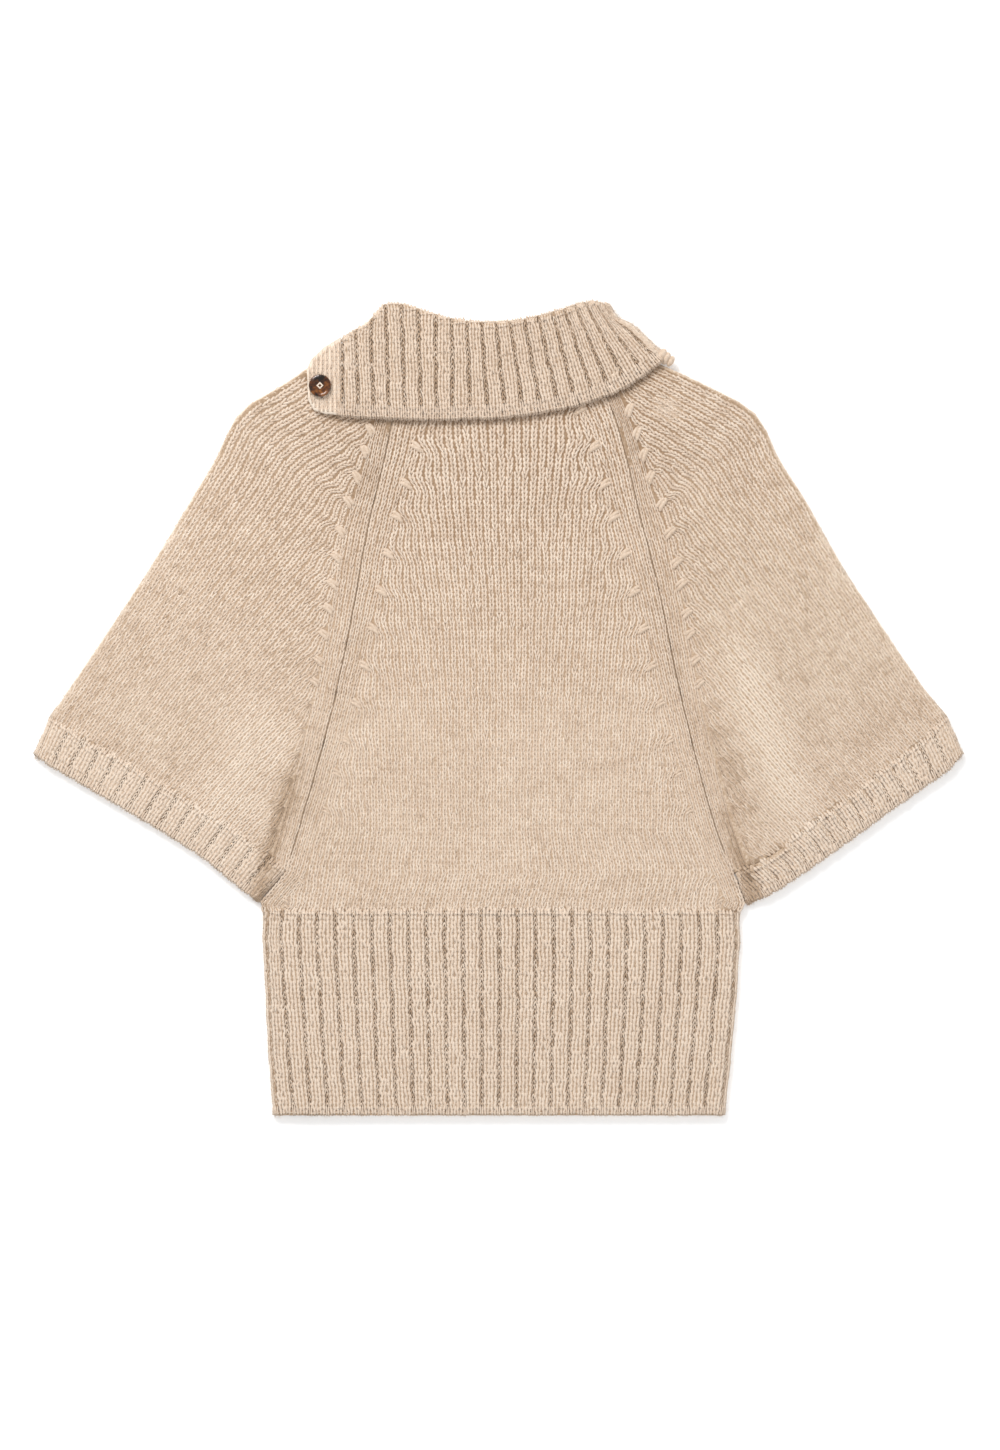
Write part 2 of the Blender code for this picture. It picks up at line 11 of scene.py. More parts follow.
import bmesh
import bpy
import numpy as np
from mathutils import Matrix, Vector
from mathutils.bvhtree import BVHTree
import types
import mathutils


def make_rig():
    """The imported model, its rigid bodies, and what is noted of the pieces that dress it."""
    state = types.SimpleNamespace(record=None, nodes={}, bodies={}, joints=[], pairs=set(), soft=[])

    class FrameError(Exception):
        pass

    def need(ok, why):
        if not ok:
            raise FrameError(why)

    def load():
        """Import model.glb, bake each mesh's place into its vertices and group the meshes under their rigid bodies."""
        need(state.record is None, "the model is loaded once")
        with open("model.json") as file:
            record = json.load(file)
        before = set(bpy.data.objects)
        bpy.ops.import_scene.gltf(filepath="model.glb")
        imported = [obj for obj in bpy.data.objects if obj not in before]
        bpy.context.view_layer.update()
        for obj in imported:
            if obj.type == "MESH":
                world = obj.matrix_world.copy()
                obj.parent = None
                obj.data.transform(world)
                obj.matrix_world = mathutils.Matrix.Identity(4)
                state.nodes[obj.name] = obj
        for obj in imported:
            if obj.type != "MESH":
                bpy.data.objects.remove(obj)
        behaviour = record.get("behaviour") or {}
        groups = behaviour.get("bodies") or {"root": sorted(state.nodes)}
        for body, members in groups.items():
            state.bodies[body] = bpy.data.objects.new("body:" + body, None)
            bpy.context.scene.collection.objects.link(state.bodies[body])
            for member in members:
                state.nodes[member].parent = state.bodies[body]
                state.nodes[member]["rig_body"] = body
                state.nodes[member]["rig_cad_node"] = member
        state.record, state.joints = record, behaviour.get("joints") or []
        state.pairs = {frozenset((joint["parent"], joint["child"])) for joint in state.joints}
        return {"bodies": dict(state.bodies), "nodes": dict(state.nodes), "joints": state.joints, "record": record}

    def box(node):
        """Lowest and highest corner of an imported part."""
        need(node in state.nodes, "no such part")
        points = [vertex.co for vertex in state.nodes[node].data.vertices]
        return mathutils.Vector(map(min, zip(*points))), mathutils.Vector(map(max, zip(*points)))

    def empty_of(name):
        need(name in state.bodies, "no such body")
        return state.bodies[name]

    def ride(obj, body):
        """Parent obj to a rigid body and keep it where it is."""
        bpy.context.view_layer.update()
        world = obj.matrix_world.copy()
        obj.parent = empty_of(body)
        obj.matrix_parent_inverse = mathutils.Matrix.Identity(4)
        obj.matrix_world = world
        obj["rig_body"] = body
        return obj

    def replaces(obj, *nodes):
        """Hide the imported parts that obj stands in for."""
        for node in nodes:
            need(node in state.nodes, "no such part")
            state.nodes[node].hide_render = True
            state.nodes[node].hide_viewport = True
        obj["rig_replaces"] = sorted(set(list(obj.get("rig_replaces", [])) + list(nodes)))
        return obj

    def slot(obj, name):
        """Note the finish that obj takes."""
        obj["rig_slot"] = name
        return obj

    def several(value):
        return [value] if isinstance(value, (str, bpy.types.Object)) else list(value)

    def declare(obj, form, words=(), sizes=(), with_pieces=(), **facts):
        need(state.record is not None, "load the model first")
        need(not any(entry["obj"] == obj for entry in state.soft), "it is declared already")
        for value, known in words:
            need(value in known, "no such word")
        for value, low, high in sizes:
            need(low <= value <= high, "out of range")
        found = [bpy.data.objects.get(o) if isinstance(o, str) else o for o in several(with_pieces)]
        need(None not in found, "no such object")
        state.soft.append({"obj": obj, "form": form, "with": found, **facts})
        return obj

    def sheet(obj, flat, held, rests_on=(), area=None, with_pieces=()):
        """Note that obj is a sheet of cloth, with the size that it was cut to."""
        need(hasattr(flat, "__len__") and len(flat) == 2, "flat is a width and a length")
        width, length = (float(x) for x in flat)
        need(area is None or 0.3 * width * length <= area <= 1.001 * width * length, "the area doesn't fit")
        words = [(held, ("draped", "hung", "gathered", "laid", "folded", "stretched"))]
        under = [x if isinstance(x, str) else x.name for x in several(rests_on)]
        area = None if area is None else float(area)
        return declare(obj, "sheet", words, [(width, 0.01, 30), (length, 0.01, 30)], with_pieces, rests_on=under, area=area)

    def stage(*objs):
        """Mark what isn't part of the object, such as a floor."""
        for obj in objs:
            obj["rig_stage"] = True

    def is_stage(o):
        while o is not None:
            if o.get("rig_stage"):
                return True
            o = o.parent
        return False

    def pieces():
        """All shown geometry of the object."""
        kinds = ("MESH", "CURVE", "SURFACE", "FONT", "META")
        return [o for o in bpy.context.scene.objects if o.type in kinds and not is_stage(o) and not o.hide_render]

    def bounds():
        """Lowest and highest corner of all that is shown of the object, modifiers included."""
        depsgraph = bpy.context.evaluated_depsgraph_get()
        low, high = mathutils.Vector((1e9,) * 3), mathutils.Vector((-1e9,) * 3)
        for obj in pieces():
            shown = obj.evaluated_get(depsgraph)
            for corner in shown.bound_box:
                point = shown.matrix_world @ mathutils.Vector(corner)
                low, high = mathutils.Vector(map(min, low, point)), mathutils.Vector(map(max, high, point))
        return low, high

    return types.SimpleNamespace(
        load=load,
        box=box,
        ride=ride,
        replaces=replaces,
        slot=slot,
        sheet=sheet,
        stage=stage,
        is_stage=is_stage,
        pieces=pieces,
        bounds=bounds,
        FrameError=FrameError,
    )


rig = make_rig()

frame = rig.load()
nodes = frame["nodes"]
cad_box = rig.bounds()
MM = 0.001
print("nodes:", ", ".join(sorted(nodes)))

# %% [markdown]
# ## Colours and picture
# The wool is a pale oatmeal with darker and lighter fibres in it. A plain transform of the colours keeps
# the pale cloth and the white surface as they are, where a film look would grey them.

# %% Colours
WOOL_LIGHT = (0.90, 0.77, 0.64)
WOOL_MIDDLE = (0.78, 0.63, 0.50)
WOOL_DARK = (0.53, 0.385, 0.265)
# SHADOW_WOOL is painted shade: the yarn deep in the gaps between the loops.
SHADOW_WOOL = (0.31, 0.20, 0.12)
scene = bpy.context.scene
scene.view_settings.view_transform = "Standard"

# %% [markdown]
# ## Wool
# Every yarn here is spun from fibres of several shades, so its colour changes from loop to loop and along
# a loop. One node group makes that for all the woollen pieces: it mixes three shades by noise at three
# sizes, and puts out a height for the fibres, which a Bump node turns into fine roughness.

# %% Short names for what nodes and meshes need
def sockets(group, names, way):
    for name, kind in names:
        group.interface.new_socket(name=name, in_out=way, socket_type="NodeSocket" + kind)


def set_inputs(node, values):
    for name, value in values.items():
        node.inputs[name].default_value = value


def new_material(name):
    """A material, its node tree and its shader."""
    material = bpy.data.materials.new(name)
    material.use_nodes = True
    return material, material.node_tree, material.node_tree.nodes["Principled BSDF"]


def mesh_of(form, name):
    """The mesh of a form, with its faces in an order that is the same each run."""
    form.verts.index_update()
    many = len(form.verts)
    form.faces.sort(key=lambda face: float(np.polyval(sorted(v.index for v in face.verts)[:3], many)))
    mesh = bpy.data.meshes.new(name)
    form.to_mesh(mesh)
    form.free()
    return mesh


def shown(mesh):
    piece = bpy.data.objects.new(mesh.name, mesh)
    scene.collection.objects.link(piece)
    return piece


# %% A node group for spun wool
SHADES = ("Dark", "Middle", "Light")
FLECKS = {"Scale": 620.0, "Detail": 3.0, "Roughness": 0.7}  # the scales are waves to a metre
PATCHES = {"Scale": 34.0, "Detail": 2.0, "Roughness": 0.5}
HAIRS = {"Scale": 2400.0, "Detail": 2.0, "Roughness": 0.6}
FLECK_SPREAD, PATCH_SPREAD = 1.3, 0.22  # how far they move the tone
FLECK_RELIEF = 0.8  # their height beside the hairs'


def wool_group():
    """Colour and height of the yarn from Object coordinates and a tone for each loop."""
    group = bpy.data.node_groups.new("spun_wool", "ShaderNodeTree")
    sockets(group, [("Tone", "Float"), *((shade, "Color") for shade in SHADES)], "INPUT")
    sockets(group, [("Color", "Color"), ("Height", "Float")], "OUTPUT")
    add, link = group.nodes.new, group.links.new
    given, out = add("NodeGroupInput"), add("NodeGroupOutput")
    place = add("ShaderNodeTexCoord")

    def noise(settings):
        node = add("ShaderNodeTexNoise")
        set_inputs(node, settings)
        link(place.outputs["Object"], node.inputs["Vector"])
        return node.outputs["Fac"]

    def math_node(operation, a, b):
        node = add("ShaderNodeMath")
        node.operation = operation
        for socket, value in zip(node.inputs, (a, b)):
            if isinstance(value, float):
                socket.default_value = value
            else:
                link(value, socket)
        return node.outputs["Value"]

    flecks, patches, hairs = noise(FLECKS), noise(PATCHES), noise(HAIRS)
    spread = math_node("MULTIPLY", math_node("SUBTRACT", flecks, 0.5), FLECK_SPREAD)
    drift = math_node("MULTIPLY", math_node("SUBTRACT", patches, 0.5), PATCH_SPREAD)
    shade = math_node("ADD", math_node("ADD", given.outputs["Tone"], spread), drift)
    low, high = add("ShaderNodeMix"), add("ShaderNodeMix")
    for mix in (low, high):
        mix.data_type = "RGBA"
    link(math_node("MULTIPLY", shade, 2.0), low.inputs["Factor"])
    link(given.outputs["Dark"], low.inputs["A"])
    link(given.outputs["Middle"], low.inputs["B"])
    link(math_node("SUBTRACT", math_node("MULTIPLY", shade, 2.0), 1.0), high.inputs["Factor"])
    link(low.outputs["Result"], high.inputs["A"])
    link(given.outputs["Light"], high.inputs["B"])
    link(high.outputs["Result"], out.inputs["Color"])
    link(math_node("ADD", hairs, math_node("MULTIPLY", flecks, FLECK_RELIEF)), out.inputs["Height"])
    return group


spun_wool = wool_group()
print("group:", spun_wool.name)


# %% Wool as a material
def wool_material(name, colours, sheen):
    material, tree, shader = new_material(name)
    set_inputs(shader, {
        "Roughness": 0.95, "Sheen Weight": sheen, "Sheen Roughness": 0.5,
        "Sheen Tint": (1.0, 0.96, 0.91, 1.0),
        "Specular IOR Level": 0.2,
    })
    wool = tree.nodes.new("ShaderNodeGroup")
    wool.node_tree = spun_wool
    set_inputs(wool, {shade: (*colour, 1.0) for shade, colour in zip(SHADES, colours)})
    tone = tree.nodes.new("ShaderNodeAttribute")
    tone.attribute_name = "tone"
    bump = tree.nodes.new("ShaderNodeBump")
    set_inputs(bump, {"Strength": 0.5, "Distance": 0.3 * MM})
    link = tree.links.new
    link(tone.outputs["Fac"], wool.inputs["Tone"])
    link(wool.outputs["Color"], shader.inputs["Base Color"])
    link(wool.outputs["Height"], bump.inputs["Height"])
    link(bump.outputs["Normal"], shader.inputs["Normal"])
    return material


loop_wool = wool_material("loop_wool", (WOOL_DARK, WOOL_MIDDLE, WOOL_LIGHT), 0.25)
# This material is painted shade where it is dark, running from SHADOW_WOOL in the gaps to the pale wool.
painted_shade_base_wool = wool_material("painted_shade_base_wool", (SHADOW_WOOL, WOOL_DARK, WOOL_LIGHT), 0.1)


def woollen(mesh, tones, wool=loop_wool):
    """The object of a woollen mesh. tones has a value for each point, or one for all."""
    values = np.full(len(mesh.vertices), tones, np.float32)
    mesh.attributes.new("tone", "FLOAT", "POINT").data.foreach_set("value", values)
    mesh.shade_smooth()
    mesh.materials.append(wool)
    return shown(mesh)


# %% Measures that several pieces share
NECK = np.array((0, 272)) * MM
UP = Vector((0, 0, 1))
NEAR_OFF, FAR_OFF = 8 * MM, 50 * MM  # where rays start that look for the cloth from above or below


def eased(share):
    """A ramp from 0 to 1 that starts and ends softly."""
    share = np.clip(share, 0, 1)
    return share * share * (3 - 2 * share)


def from_neck(places):
    """Distances from the neck: the knit is crisp and open there, and felted further down."""
    return np.hypot(*np.moveaxis(places[..., :2] - NECK, -1, 0))

# %% [markdown]
# ## The base cloth
# Each solid is a wall of cloth. A copy of it, sunk a little on the sides that show, is what lies behind
# the loops, and its soft creases are what makes the garment look laid down by hand. Its dark colour is
# painted shade, which shows in the gaps between the loops. The operators merge the loose triangles, cut
# long edges and smooth the heights.

# %% The collar's fold and edge
CollarRow = namedtuple("CollarRow", "rib fold_x fold_y edge_x edge_y")
COLLAR = [  # millimetres, as in the solid
    CollarRow(0, -117.5, 277.5, -116.5, 219),
    CollarRow(3, -85, 304, -81.5, 217),
    CollarRow(7, -35, 292.5, -34, 216.5),
    CollarRow(11, 8.5, 290.5, 18.5, 219.5),
    CollarRow(15, 49, 300, 71.5, 231),
    CollarRow(17, 64, 304.5, 97, 241.5),
    CollarRow(19, 78.5, 302.5, 120.5, 258.5),
]


# %% Dents in the collar
Dent = namedtuple("Dent", "x y move_x move_y radius")
DENTS = [  # millimetres; where the fold's line is drawn in
    Dent(-101, 296, 1.5, -5, 13),
    Dent(73, 305, 0, 1.5, 8),
    Dent(83.5, 306, -1, -2, 5),
    Dent(93, 298, -4, -4, 9),
]


def dented(plan):
    """Plan points of the collar, moved by the dents."""
    moved = np.array(plan, float)
    for dent in DENTS:
        away = plan - np.array((dent.x, dent.y)) * MM
        share = np.exp(-(away**2).sum(-1) / (dent.radius * MM) ** 2)
        moved += share[..., None] * np.array((dent.move_x, dent.move_y)) * MM
    return moved


# %% Creases laid one by one
Crease = namedtuple("Crease", "start_x start_y end_x end_y half_width height tone")
# The tone of each crease is painted light on a ridge and painted shade in a trough.
CREASES = [  # millimetres; over the front layer, which can rise more than it can sink
    Crease(-142, 6, -174, -108, 9, 1.5, -0.04),  # the left sleeve's underside
    Crease(-144, -14, -205, -230, 7, -1.6, -0.62),
    Crease(-160, 10, -222, -104, 24, 1.3, 0.36),
    Crease(168, 74, 236, -112, 17, 1.5, 0.5),  # the right sleeve's
    Crease(158, 0, 189, -100, 12, -0.6, -0.28),
    Crease(165, -63, 221, -230, 6, -1.6, -0.85),
    Crease(-60, -120, 40, -138, 9, 0.7, 0.02),
    Crease(60, -118, 150, -132, 8, 0.8, 0.02),
    Crease(-120, -70, -96, -140, 10, -0.5, -0.03),
    Crease(110, 10, 128, -120, 13, 0.6, 0.03),
    Crease(-290, 30, -215, -60, 16, 0.8, 0.03),
    Crease(-240, 110, -150, 40, 18, 0.7, 0.03),
    Crease(235, 130, 300, 10, 20, 0.8, 0.03),
    Crease(140, 175, 190, 90, 12, 0.6, 0.03),
    Crease(290, 20, 250, -80, 11, -0.5, -0.08),
    Crease(-60, 170, -20, 60, 20, 0.5, 0.0),
    Crease(30, 90, 70, -40, 22, -0.4, 0.0),
]
CREASE_FADE = 0.3  # the share of its length in which a crease fades at each end


def crease_shares(place):
    """How much of each crease there is at each (x, y) of an array of places."""
    shares = []
    for crease in CREASES:
        start = np.array((crease.start_x, crease.start_y)) * MM
        run = np.array((crease.end_x, crease.end_y)) * MM - start
        length = np.hypot(*run)
        away = place[..., :2] - start
        along = away @ run / length**2
        across = (away[..., 0] * run[1] - away[..., 1] * run[0]) / length
        fade = eased(np.clip(along / CREASE_FADE, 0, 1) * np.clip((1 - along) / CREASE_FADE, 0, 1))
        shares.append(fade * np.exp(-((across / (crease.half_width * MM)) ** 2)))
    return np.array(shares)


def crease_height(place):
    return np.tensordot([c.height * MM for c in CREASES], crease_shares(place), 1)


def painted_crease_shade(place):
    """Painted light where the cloth lies over a ridge, and painted shade down in a trough."""
    return np.tensordot([c.tone for c in CREASES], crease_shares(place), 1)


# %% [markdown]
# The front sinks a little along the collar's edge, so the edge stands free and throws a soft shadow. The
# wool there is also drawn darker, as painted shadow.

# %% The dip beside the collar
EDGE_DIP, EDGE_REACH = 1.3 * MM, 8 * MM


def sunk_at_edge(places):
    """How far the front lies lower beside the collar's edge."""
    edge_x = np.array([row.edge_x for row in COLLAR]) * MM
    edge_y = np.array([row.edge_y for row in COLLAR]) * MM
    below = np.interp(places[:, 0], edge_x, edge_y) - places[:, 1]
    sideways = np.maximum(0, np.maximum(edge_x[0] - places[:, 0], places[:, 0] - edge_x[-1]))
    return EDGE_DIP * np.exp(-((below / EDGE_REACH) ** 2) - (sideways / (2 * EDGE_REACH)) ** 2)


# %% The waistband's lean
WAIST_RIBS = 26
WAIST_TOP_Y, WAIST_LEAN = -153 * MM, 3.9 * MM
WAIST_LENGTH, WAIST_FIRST, WAIST_LAST = 152 * MM, -173 * MM, 176 * MM


def leaned(place):
    """The ribs of the waistband's front lean a little more than its side, most at the left and the top."""
    up = np.clip(1 + (place[..., 1] - WAIST_TOP_Y) / WAIST_LENGTH, 0, 1)
    share = (place[..., 0] - WAIST_FIRST) / (WAIST_LAST - WAIST_FIRST)
    moved = np.array(place, float)
    moved[..., 0] -= WAIST_LEAN * up * np.clip(share * WAIST_RIBS, 0, 1) * np.clip(1 - share, 0, 1)
    return moved


# %% Base cloth from a solid
PLAIN = {"longest": 9 * MM, "smoothing": 10}
RIBBED = {"longest": 8 * MM, "smoothing": 0}
# The dark tones behind the loops and ribs are painted shade for the gaps between them; behind the loops it is deepest
# near the neck.
BASE_REACH = (110 * MM, 300 * MM)  # how far from the neck the cloth behind the loops gets paler
BEHIND_LOOPS = (0.1, 0.57)  # its tones at those two distances
BEHIND_RIBS = {"waistband": 0.35, "cuff_left": 0.62, "cuff_right": 0.62, "collar": 0.25}  # and behind ribs
# SEAM_TONE is painted shade: the seams show as dark lines of the shade in the gap between the pieces.
SEAM_TONE, RIBBED_RIM_TONE = 0.42, 0.5  # the seams are dark lines
FOLD_TONE, BESIDE_FOLD_TONE, BAND_TONE = 0.95, 0.7, 1.0  # and the folds are pale
SINK = 0.9 * MM  # how far the base lies under the solid's face, to leave room for the loops
LAYER_TOP = 3.9 * MM  # above this, a point belongs to the front layer
STEEP, FOLD_STEEP = 0.25, 0.75  # how far up a normal points on a cut edge, and round a fold
RIM_ANGLE = math.radians(60)


def rims(form):
    """The corners of the cloth's cut edges, and the points between them on the same narrow faces."""
    sharp = [e for e in form.edges if e.is_manifold and e.calc_face_angle() > RIM_ANGLE]
    corners = {v for e in sharp for v in e.verts}
    between = {
        v
        for e in form.edges
        for v in e.verts
        if corners.intersection(e.verts) and all(abs(f.normal.z) < STEEP for f in v.link_faces)
    }
    return corners, between - corners


def base_cloth(node, longest, smoothing):
    """The cloth of a node, and a tree of its faces for casting rays."""
    form = bmesh.new()
    form.from_mesh(nodes[node].data)
    bmesh.ops.remove_doubles(form, verts=form.verts, dist=0.00001)
    for _ in range(4):
        long_edges = [e for e in form.edges if e.calc_length() > longest]
        if not long_edges:
            break
        bmesh.ops.subdivide_edges(form, edges=long_edges, cuts=1, use_grid_fill=True)
    bmesh.ops.triangulate(form, faces=form.faces)
    form.normal_update()
    corners, between = rims(form)
    for vert in form.verts:
        if vert in between:
            continue
        way = UP if vert in corners else vert.normal
        vert.co -= way * SINK * min(1.0, max(0.0, (vert.normal.z + 0.9) / 0.6))
    raised = [v for v in form.verts if v.co.z > LAYER_TOP and v.normal.z > 0.8]
    for _ in range(smoothing):
        bmesh.ops.smooth_vert(form, verts=raised, factor=0.5, use_axis_z=True)
    places = np.array([v.co for v in form.verts])
    in_front = np.clip((places[:, 2] - LAYER_TOP) / MM, 0, 1)
    if node in ("front_panel", "sleeve_left", "sleeve_right"):
        places[:, 2] -= sunk_at_edge(places) * in_front
    if node != "button_band":
        places[:, 2] += crease_height(places) * in_front
    if node == "collar":
        places[:, :2] = dented(places[:, :2])
    if node == "waistband":
        places = np.where(in_front[:, None] > 0, leaned(places), places)
    places[:, 2] = np.maximum(places[:, 2], 0)
    for vert, place in zip(form.verts, places):
        vert.co = place
    form.normal_update()
    rim = corners | between
    folds = {v for v in form.verts if abs(v.normal.z) < FOLD_STEEP} - rim
    beside = {v for fold in folds for edge in fold.link_edges for v in edge.verts}
    tree = BVHTree.FromBMesh(form)
    # Behind the loops and ribs the tone is painted shade for the gaps, the seams are lines of painted shade, and the
    # folds keep the pale wool.
    if node in BEHIND_RIBS:
        tones, rim_tone = np.full(len(places), BEHIND_RIBS[node]), RIBBED_RIM_TONE
    else:
        tones, rim_tone = np.interp(from_neck(places), BASE_REACH, BEHIND_LOOPS), SEAM_TONE
    for verts, tone in ((rim, rim_tone), (beside, BESIDE_FOLD_TONE), (folds, FOLD_TONE)):
        tones[[v in verts for v in form.verts]] = tone
    if node == "button_band":
        tones[:] = BAND_TONE
    mesh = bpy.data.meshes.new(node + "_cloth")
    form.to_mesh(mesh)
    form.free()
    cloth = woollen(mesh, tones, painted_shade_base_wool)
    print(cloth.name, len(mesh.polygons), "faces")
    return cloth, tree


# %% [markdown]
# The panels and sleeves are smoothed more than the ribbed pieces, whose ribs have to stay crisp.

# %% All the base cloths
cloths, trees = {}, {}
for node in ("front_panel", "back_panel", "sleeve_left", "sleeve_right"):
    cloths[node], trees[node] = base_cloth(node, **PLAIN)
for node in ("waistband", "cuff_left", "cuff_right", "collar", "button_band"):
    cloths[node], trees[node] = base_cloth(node, **RIBBED)

# %% [markdown]
# ## Where the loops lie
# A knit is a grid of loops: wales run up it and courses run across. The grid is made in plan for each
# piece from the outline of its solid, and then set down on the base cloth by casting rays.

# %% Reading a solid's outline
def plan_edges(node):
    """The ends of all the edges of a solid, seen from above."""
    mesh = nodes[node].data
    points = np.array([v.co[:2] for v in mesh.vertices])
    ends = np.array([e.vertices[:] for e in mesh.edges])
    return points[ends[:, 0]], points[ends[:, 1]]


def reach(edges, origin, direction):
    """The nearest and farthest crossing of an outline by the line through origin along direction."""
    start, end = edges
    direction = np.asarray(direction) / np.hypot(*direction)
    across = np.array((-direction[1], direction[0]))
    s0, s1 = (start - origin) @ across, (end - origin) @ across
    meets = s0 * s1 <= 0
    s0, s1 = s0[meets], s1[meets]
    a0, a1 = (start[meets] - origin) @ direction, (end[meets] - origin) @ direction
    spread = np.where(np.abs(s0 - s1) < 1e-12, 1.0, s0 - s1)
    found = a0 + (a1 - a0) * s0 / spread
    return found.min(), found.max()


def settle(tree, points, normals, start, stay=False):
    """Moves points along their normals onto the cloth, and gives the cloth's own normals there. start is
    how far out the rays begin. Beside the cloth a point stays, or goes to the nearest rim."""
    landed, facing = points.copy(), normals.copy()
    flat_points, flat_normals = points.reshape(-1, 3), normals.reshape(-1, 3)
    out_points, out_normals = landed.reshape(-1, 3), facing.reshape(-1, 3)
    for i, (point, normal) in enumerate(zip(flat_points, flat_normals)):
        way = Vector(normal)
        hit, face_normal, _, _ = tree.ray_cast(Vector(point) + way * start, -way, 3 * start)
        if hit is None:
            if not stay:
                out_points[i] = tree.find_nearest(Vector(point))[0]
        else:
            out_points[i] = hit
            out_normals[i] = face_normal if face_normal.dot(way) > 0.3 else way
    return landed, facing


# %% [markdown]
# ## A loop of yarn
# From the front, a knit loop is a V: two legs that come up out of the loop below and lean outwards until
# the next loop covers them. A leg is a sphere of three sides, drawn out to a grain with tapered ends, so it
# looks round when shaded smooth and costs only twelve triangles. Between ribs the loops turn their backs,
# and what shows there are short slanting ends of yarn.

# %% The shapes that are repeated
Leg = namedtuple("Leg", "foot head width start length tip")  # all in cells, which are one by one
KNIT_LEG = Leg(0.12, 0.28, 0.43, -0.50, 1.84, 0.35)
FULL_LEG = Leg(0.20, 0.28, 0.56, -0.60, 2.10, 0.70)  # in the ribs, where the legs run into each other
PURL_LEG = Leg(0.36, 0.12, 0.42, -0.40, 1.60, 0.10)


def leg(side, shape):
    """One leg of the V in a cell of one by one, with its height over the cloth as Z."""
    form = bmesh.new()
    bmesh.ops.create_uvsphere(form, u_segments=3, v_segments=3, radius=1)
    for vert in form.verts:
        middle = shape.head if vert.co.z > 0 else shape.foot
        along = (vert.co.z + 1) / 2
        if abs(vert.co.z) > 0.9:
            across, z = 0, shape.tip
        else:
            across, z = round(vert.co.x / 0.75) * shape.width / 2, 1.0 if vert.co.y > 0 else -0.25
        vert.co = (0.5 + side * middle + across, shape.start + shape.length * along, z)
    bmesh.ops.recalc_face_normals(form, faces=form.faces)
    return form


def template(forms):
    """Joins forms into arrays of points and triangles."""
    points, faces = [], []
    for form in forms:
        bmesh.ops.triangulate(form, faces=form.faces)
        form.verts.index_update()
        first = len(points)
        points += [tuple(v.co) for v in form.verts]
        faces += [[first + v.index for v in f.verts] for f in form.faces]
        form.free()
    return np.array(points), np.array(faces)


KNIT_LOOP = template([leg(-1, KNIT_LEG), leg(1, KNIT_LEG)])
RIB_LOOP = template([leg(-1, FULL_LEG), leg(1, FULL_LEG)])
PURL_LOOP = template([leg(-1, PURL_LEG), leg(1, PURL_LEG)])
print("a knit loop has", len(KNIT_LOOP[1]), "triangles, a purl loop", len(PURL_LOOP[1]))

# %% [markdown]
# ## Setting the loops
# A cell of the grid has four corners on the cloth. The template is stretched between them, so the loops
# lean, widen and crowd with the knitting, and stand out along the cloth's normal.

# %% Filling cells with loops
LOOP_HEIGHT = 1.15 * MM
LOWEST = 0.2 * MM  # the yarn rests on the surface
SWAY = 0.15 * MM
UNDER_COLLAR = ("front_knit", "sleeve_left_knit", "sleeve_right_knit")
# EDGE_SHADE is painted shadow: the wool's tone is lowered under the collar's edge.
EDGE_SHADE = 0.35  # how much darker the wool is where it dips under the collar's edge
WOBBLE, SWELL = 0.045, 0.10  # how much loops differ in place, in cells, and in height
STREAK, LEG_TONE = 0.05, 0.12  # and in tone: along a course, and from leg to leg
STREAK_LOOPS = 6  # the loops in which the tone drifts along a course
CORNERS = ((0, 0), (0, 1), (1, 0), (1, 1))
chance = np.random.default_rng(7)
loop_spots = {}  # the middle, normal and height of every loop, by piece


def copies(name, points, faces):
    """The mesh of many copies of a form. points has a row for each copy, and faces are those of one."""
    count, size = points.shape[:2]
    points[..., 2] = np.maximum(points[..., 2], LOWEST)
    faces = faces[None] + (np.arange(count) * size)[:, None, None]
    mesh = bpy.data.meshes.new(name)
    mesh.from_pydata(points.reshape(-1, 3), [], faces.reshape(-1, 3).tolist())
    return mesh


def swayed(places):
    """No wale is quite straight: a slow wave moves the knitting about in its plane."""
    x, y = places[..., 0], places[..., 1]
    moved = places.copy()
    moved[..., 0] += SWAY * (np.sin(146 * x + 89 * y + 1.3) + np.sin(216 * y - 57 * x + 0.4))
    moved[..., 1] += SWAY * (np.sin(118 * x - 67 * y) + np.sin(187 * x + 74 * y + 2.1))
    return moved


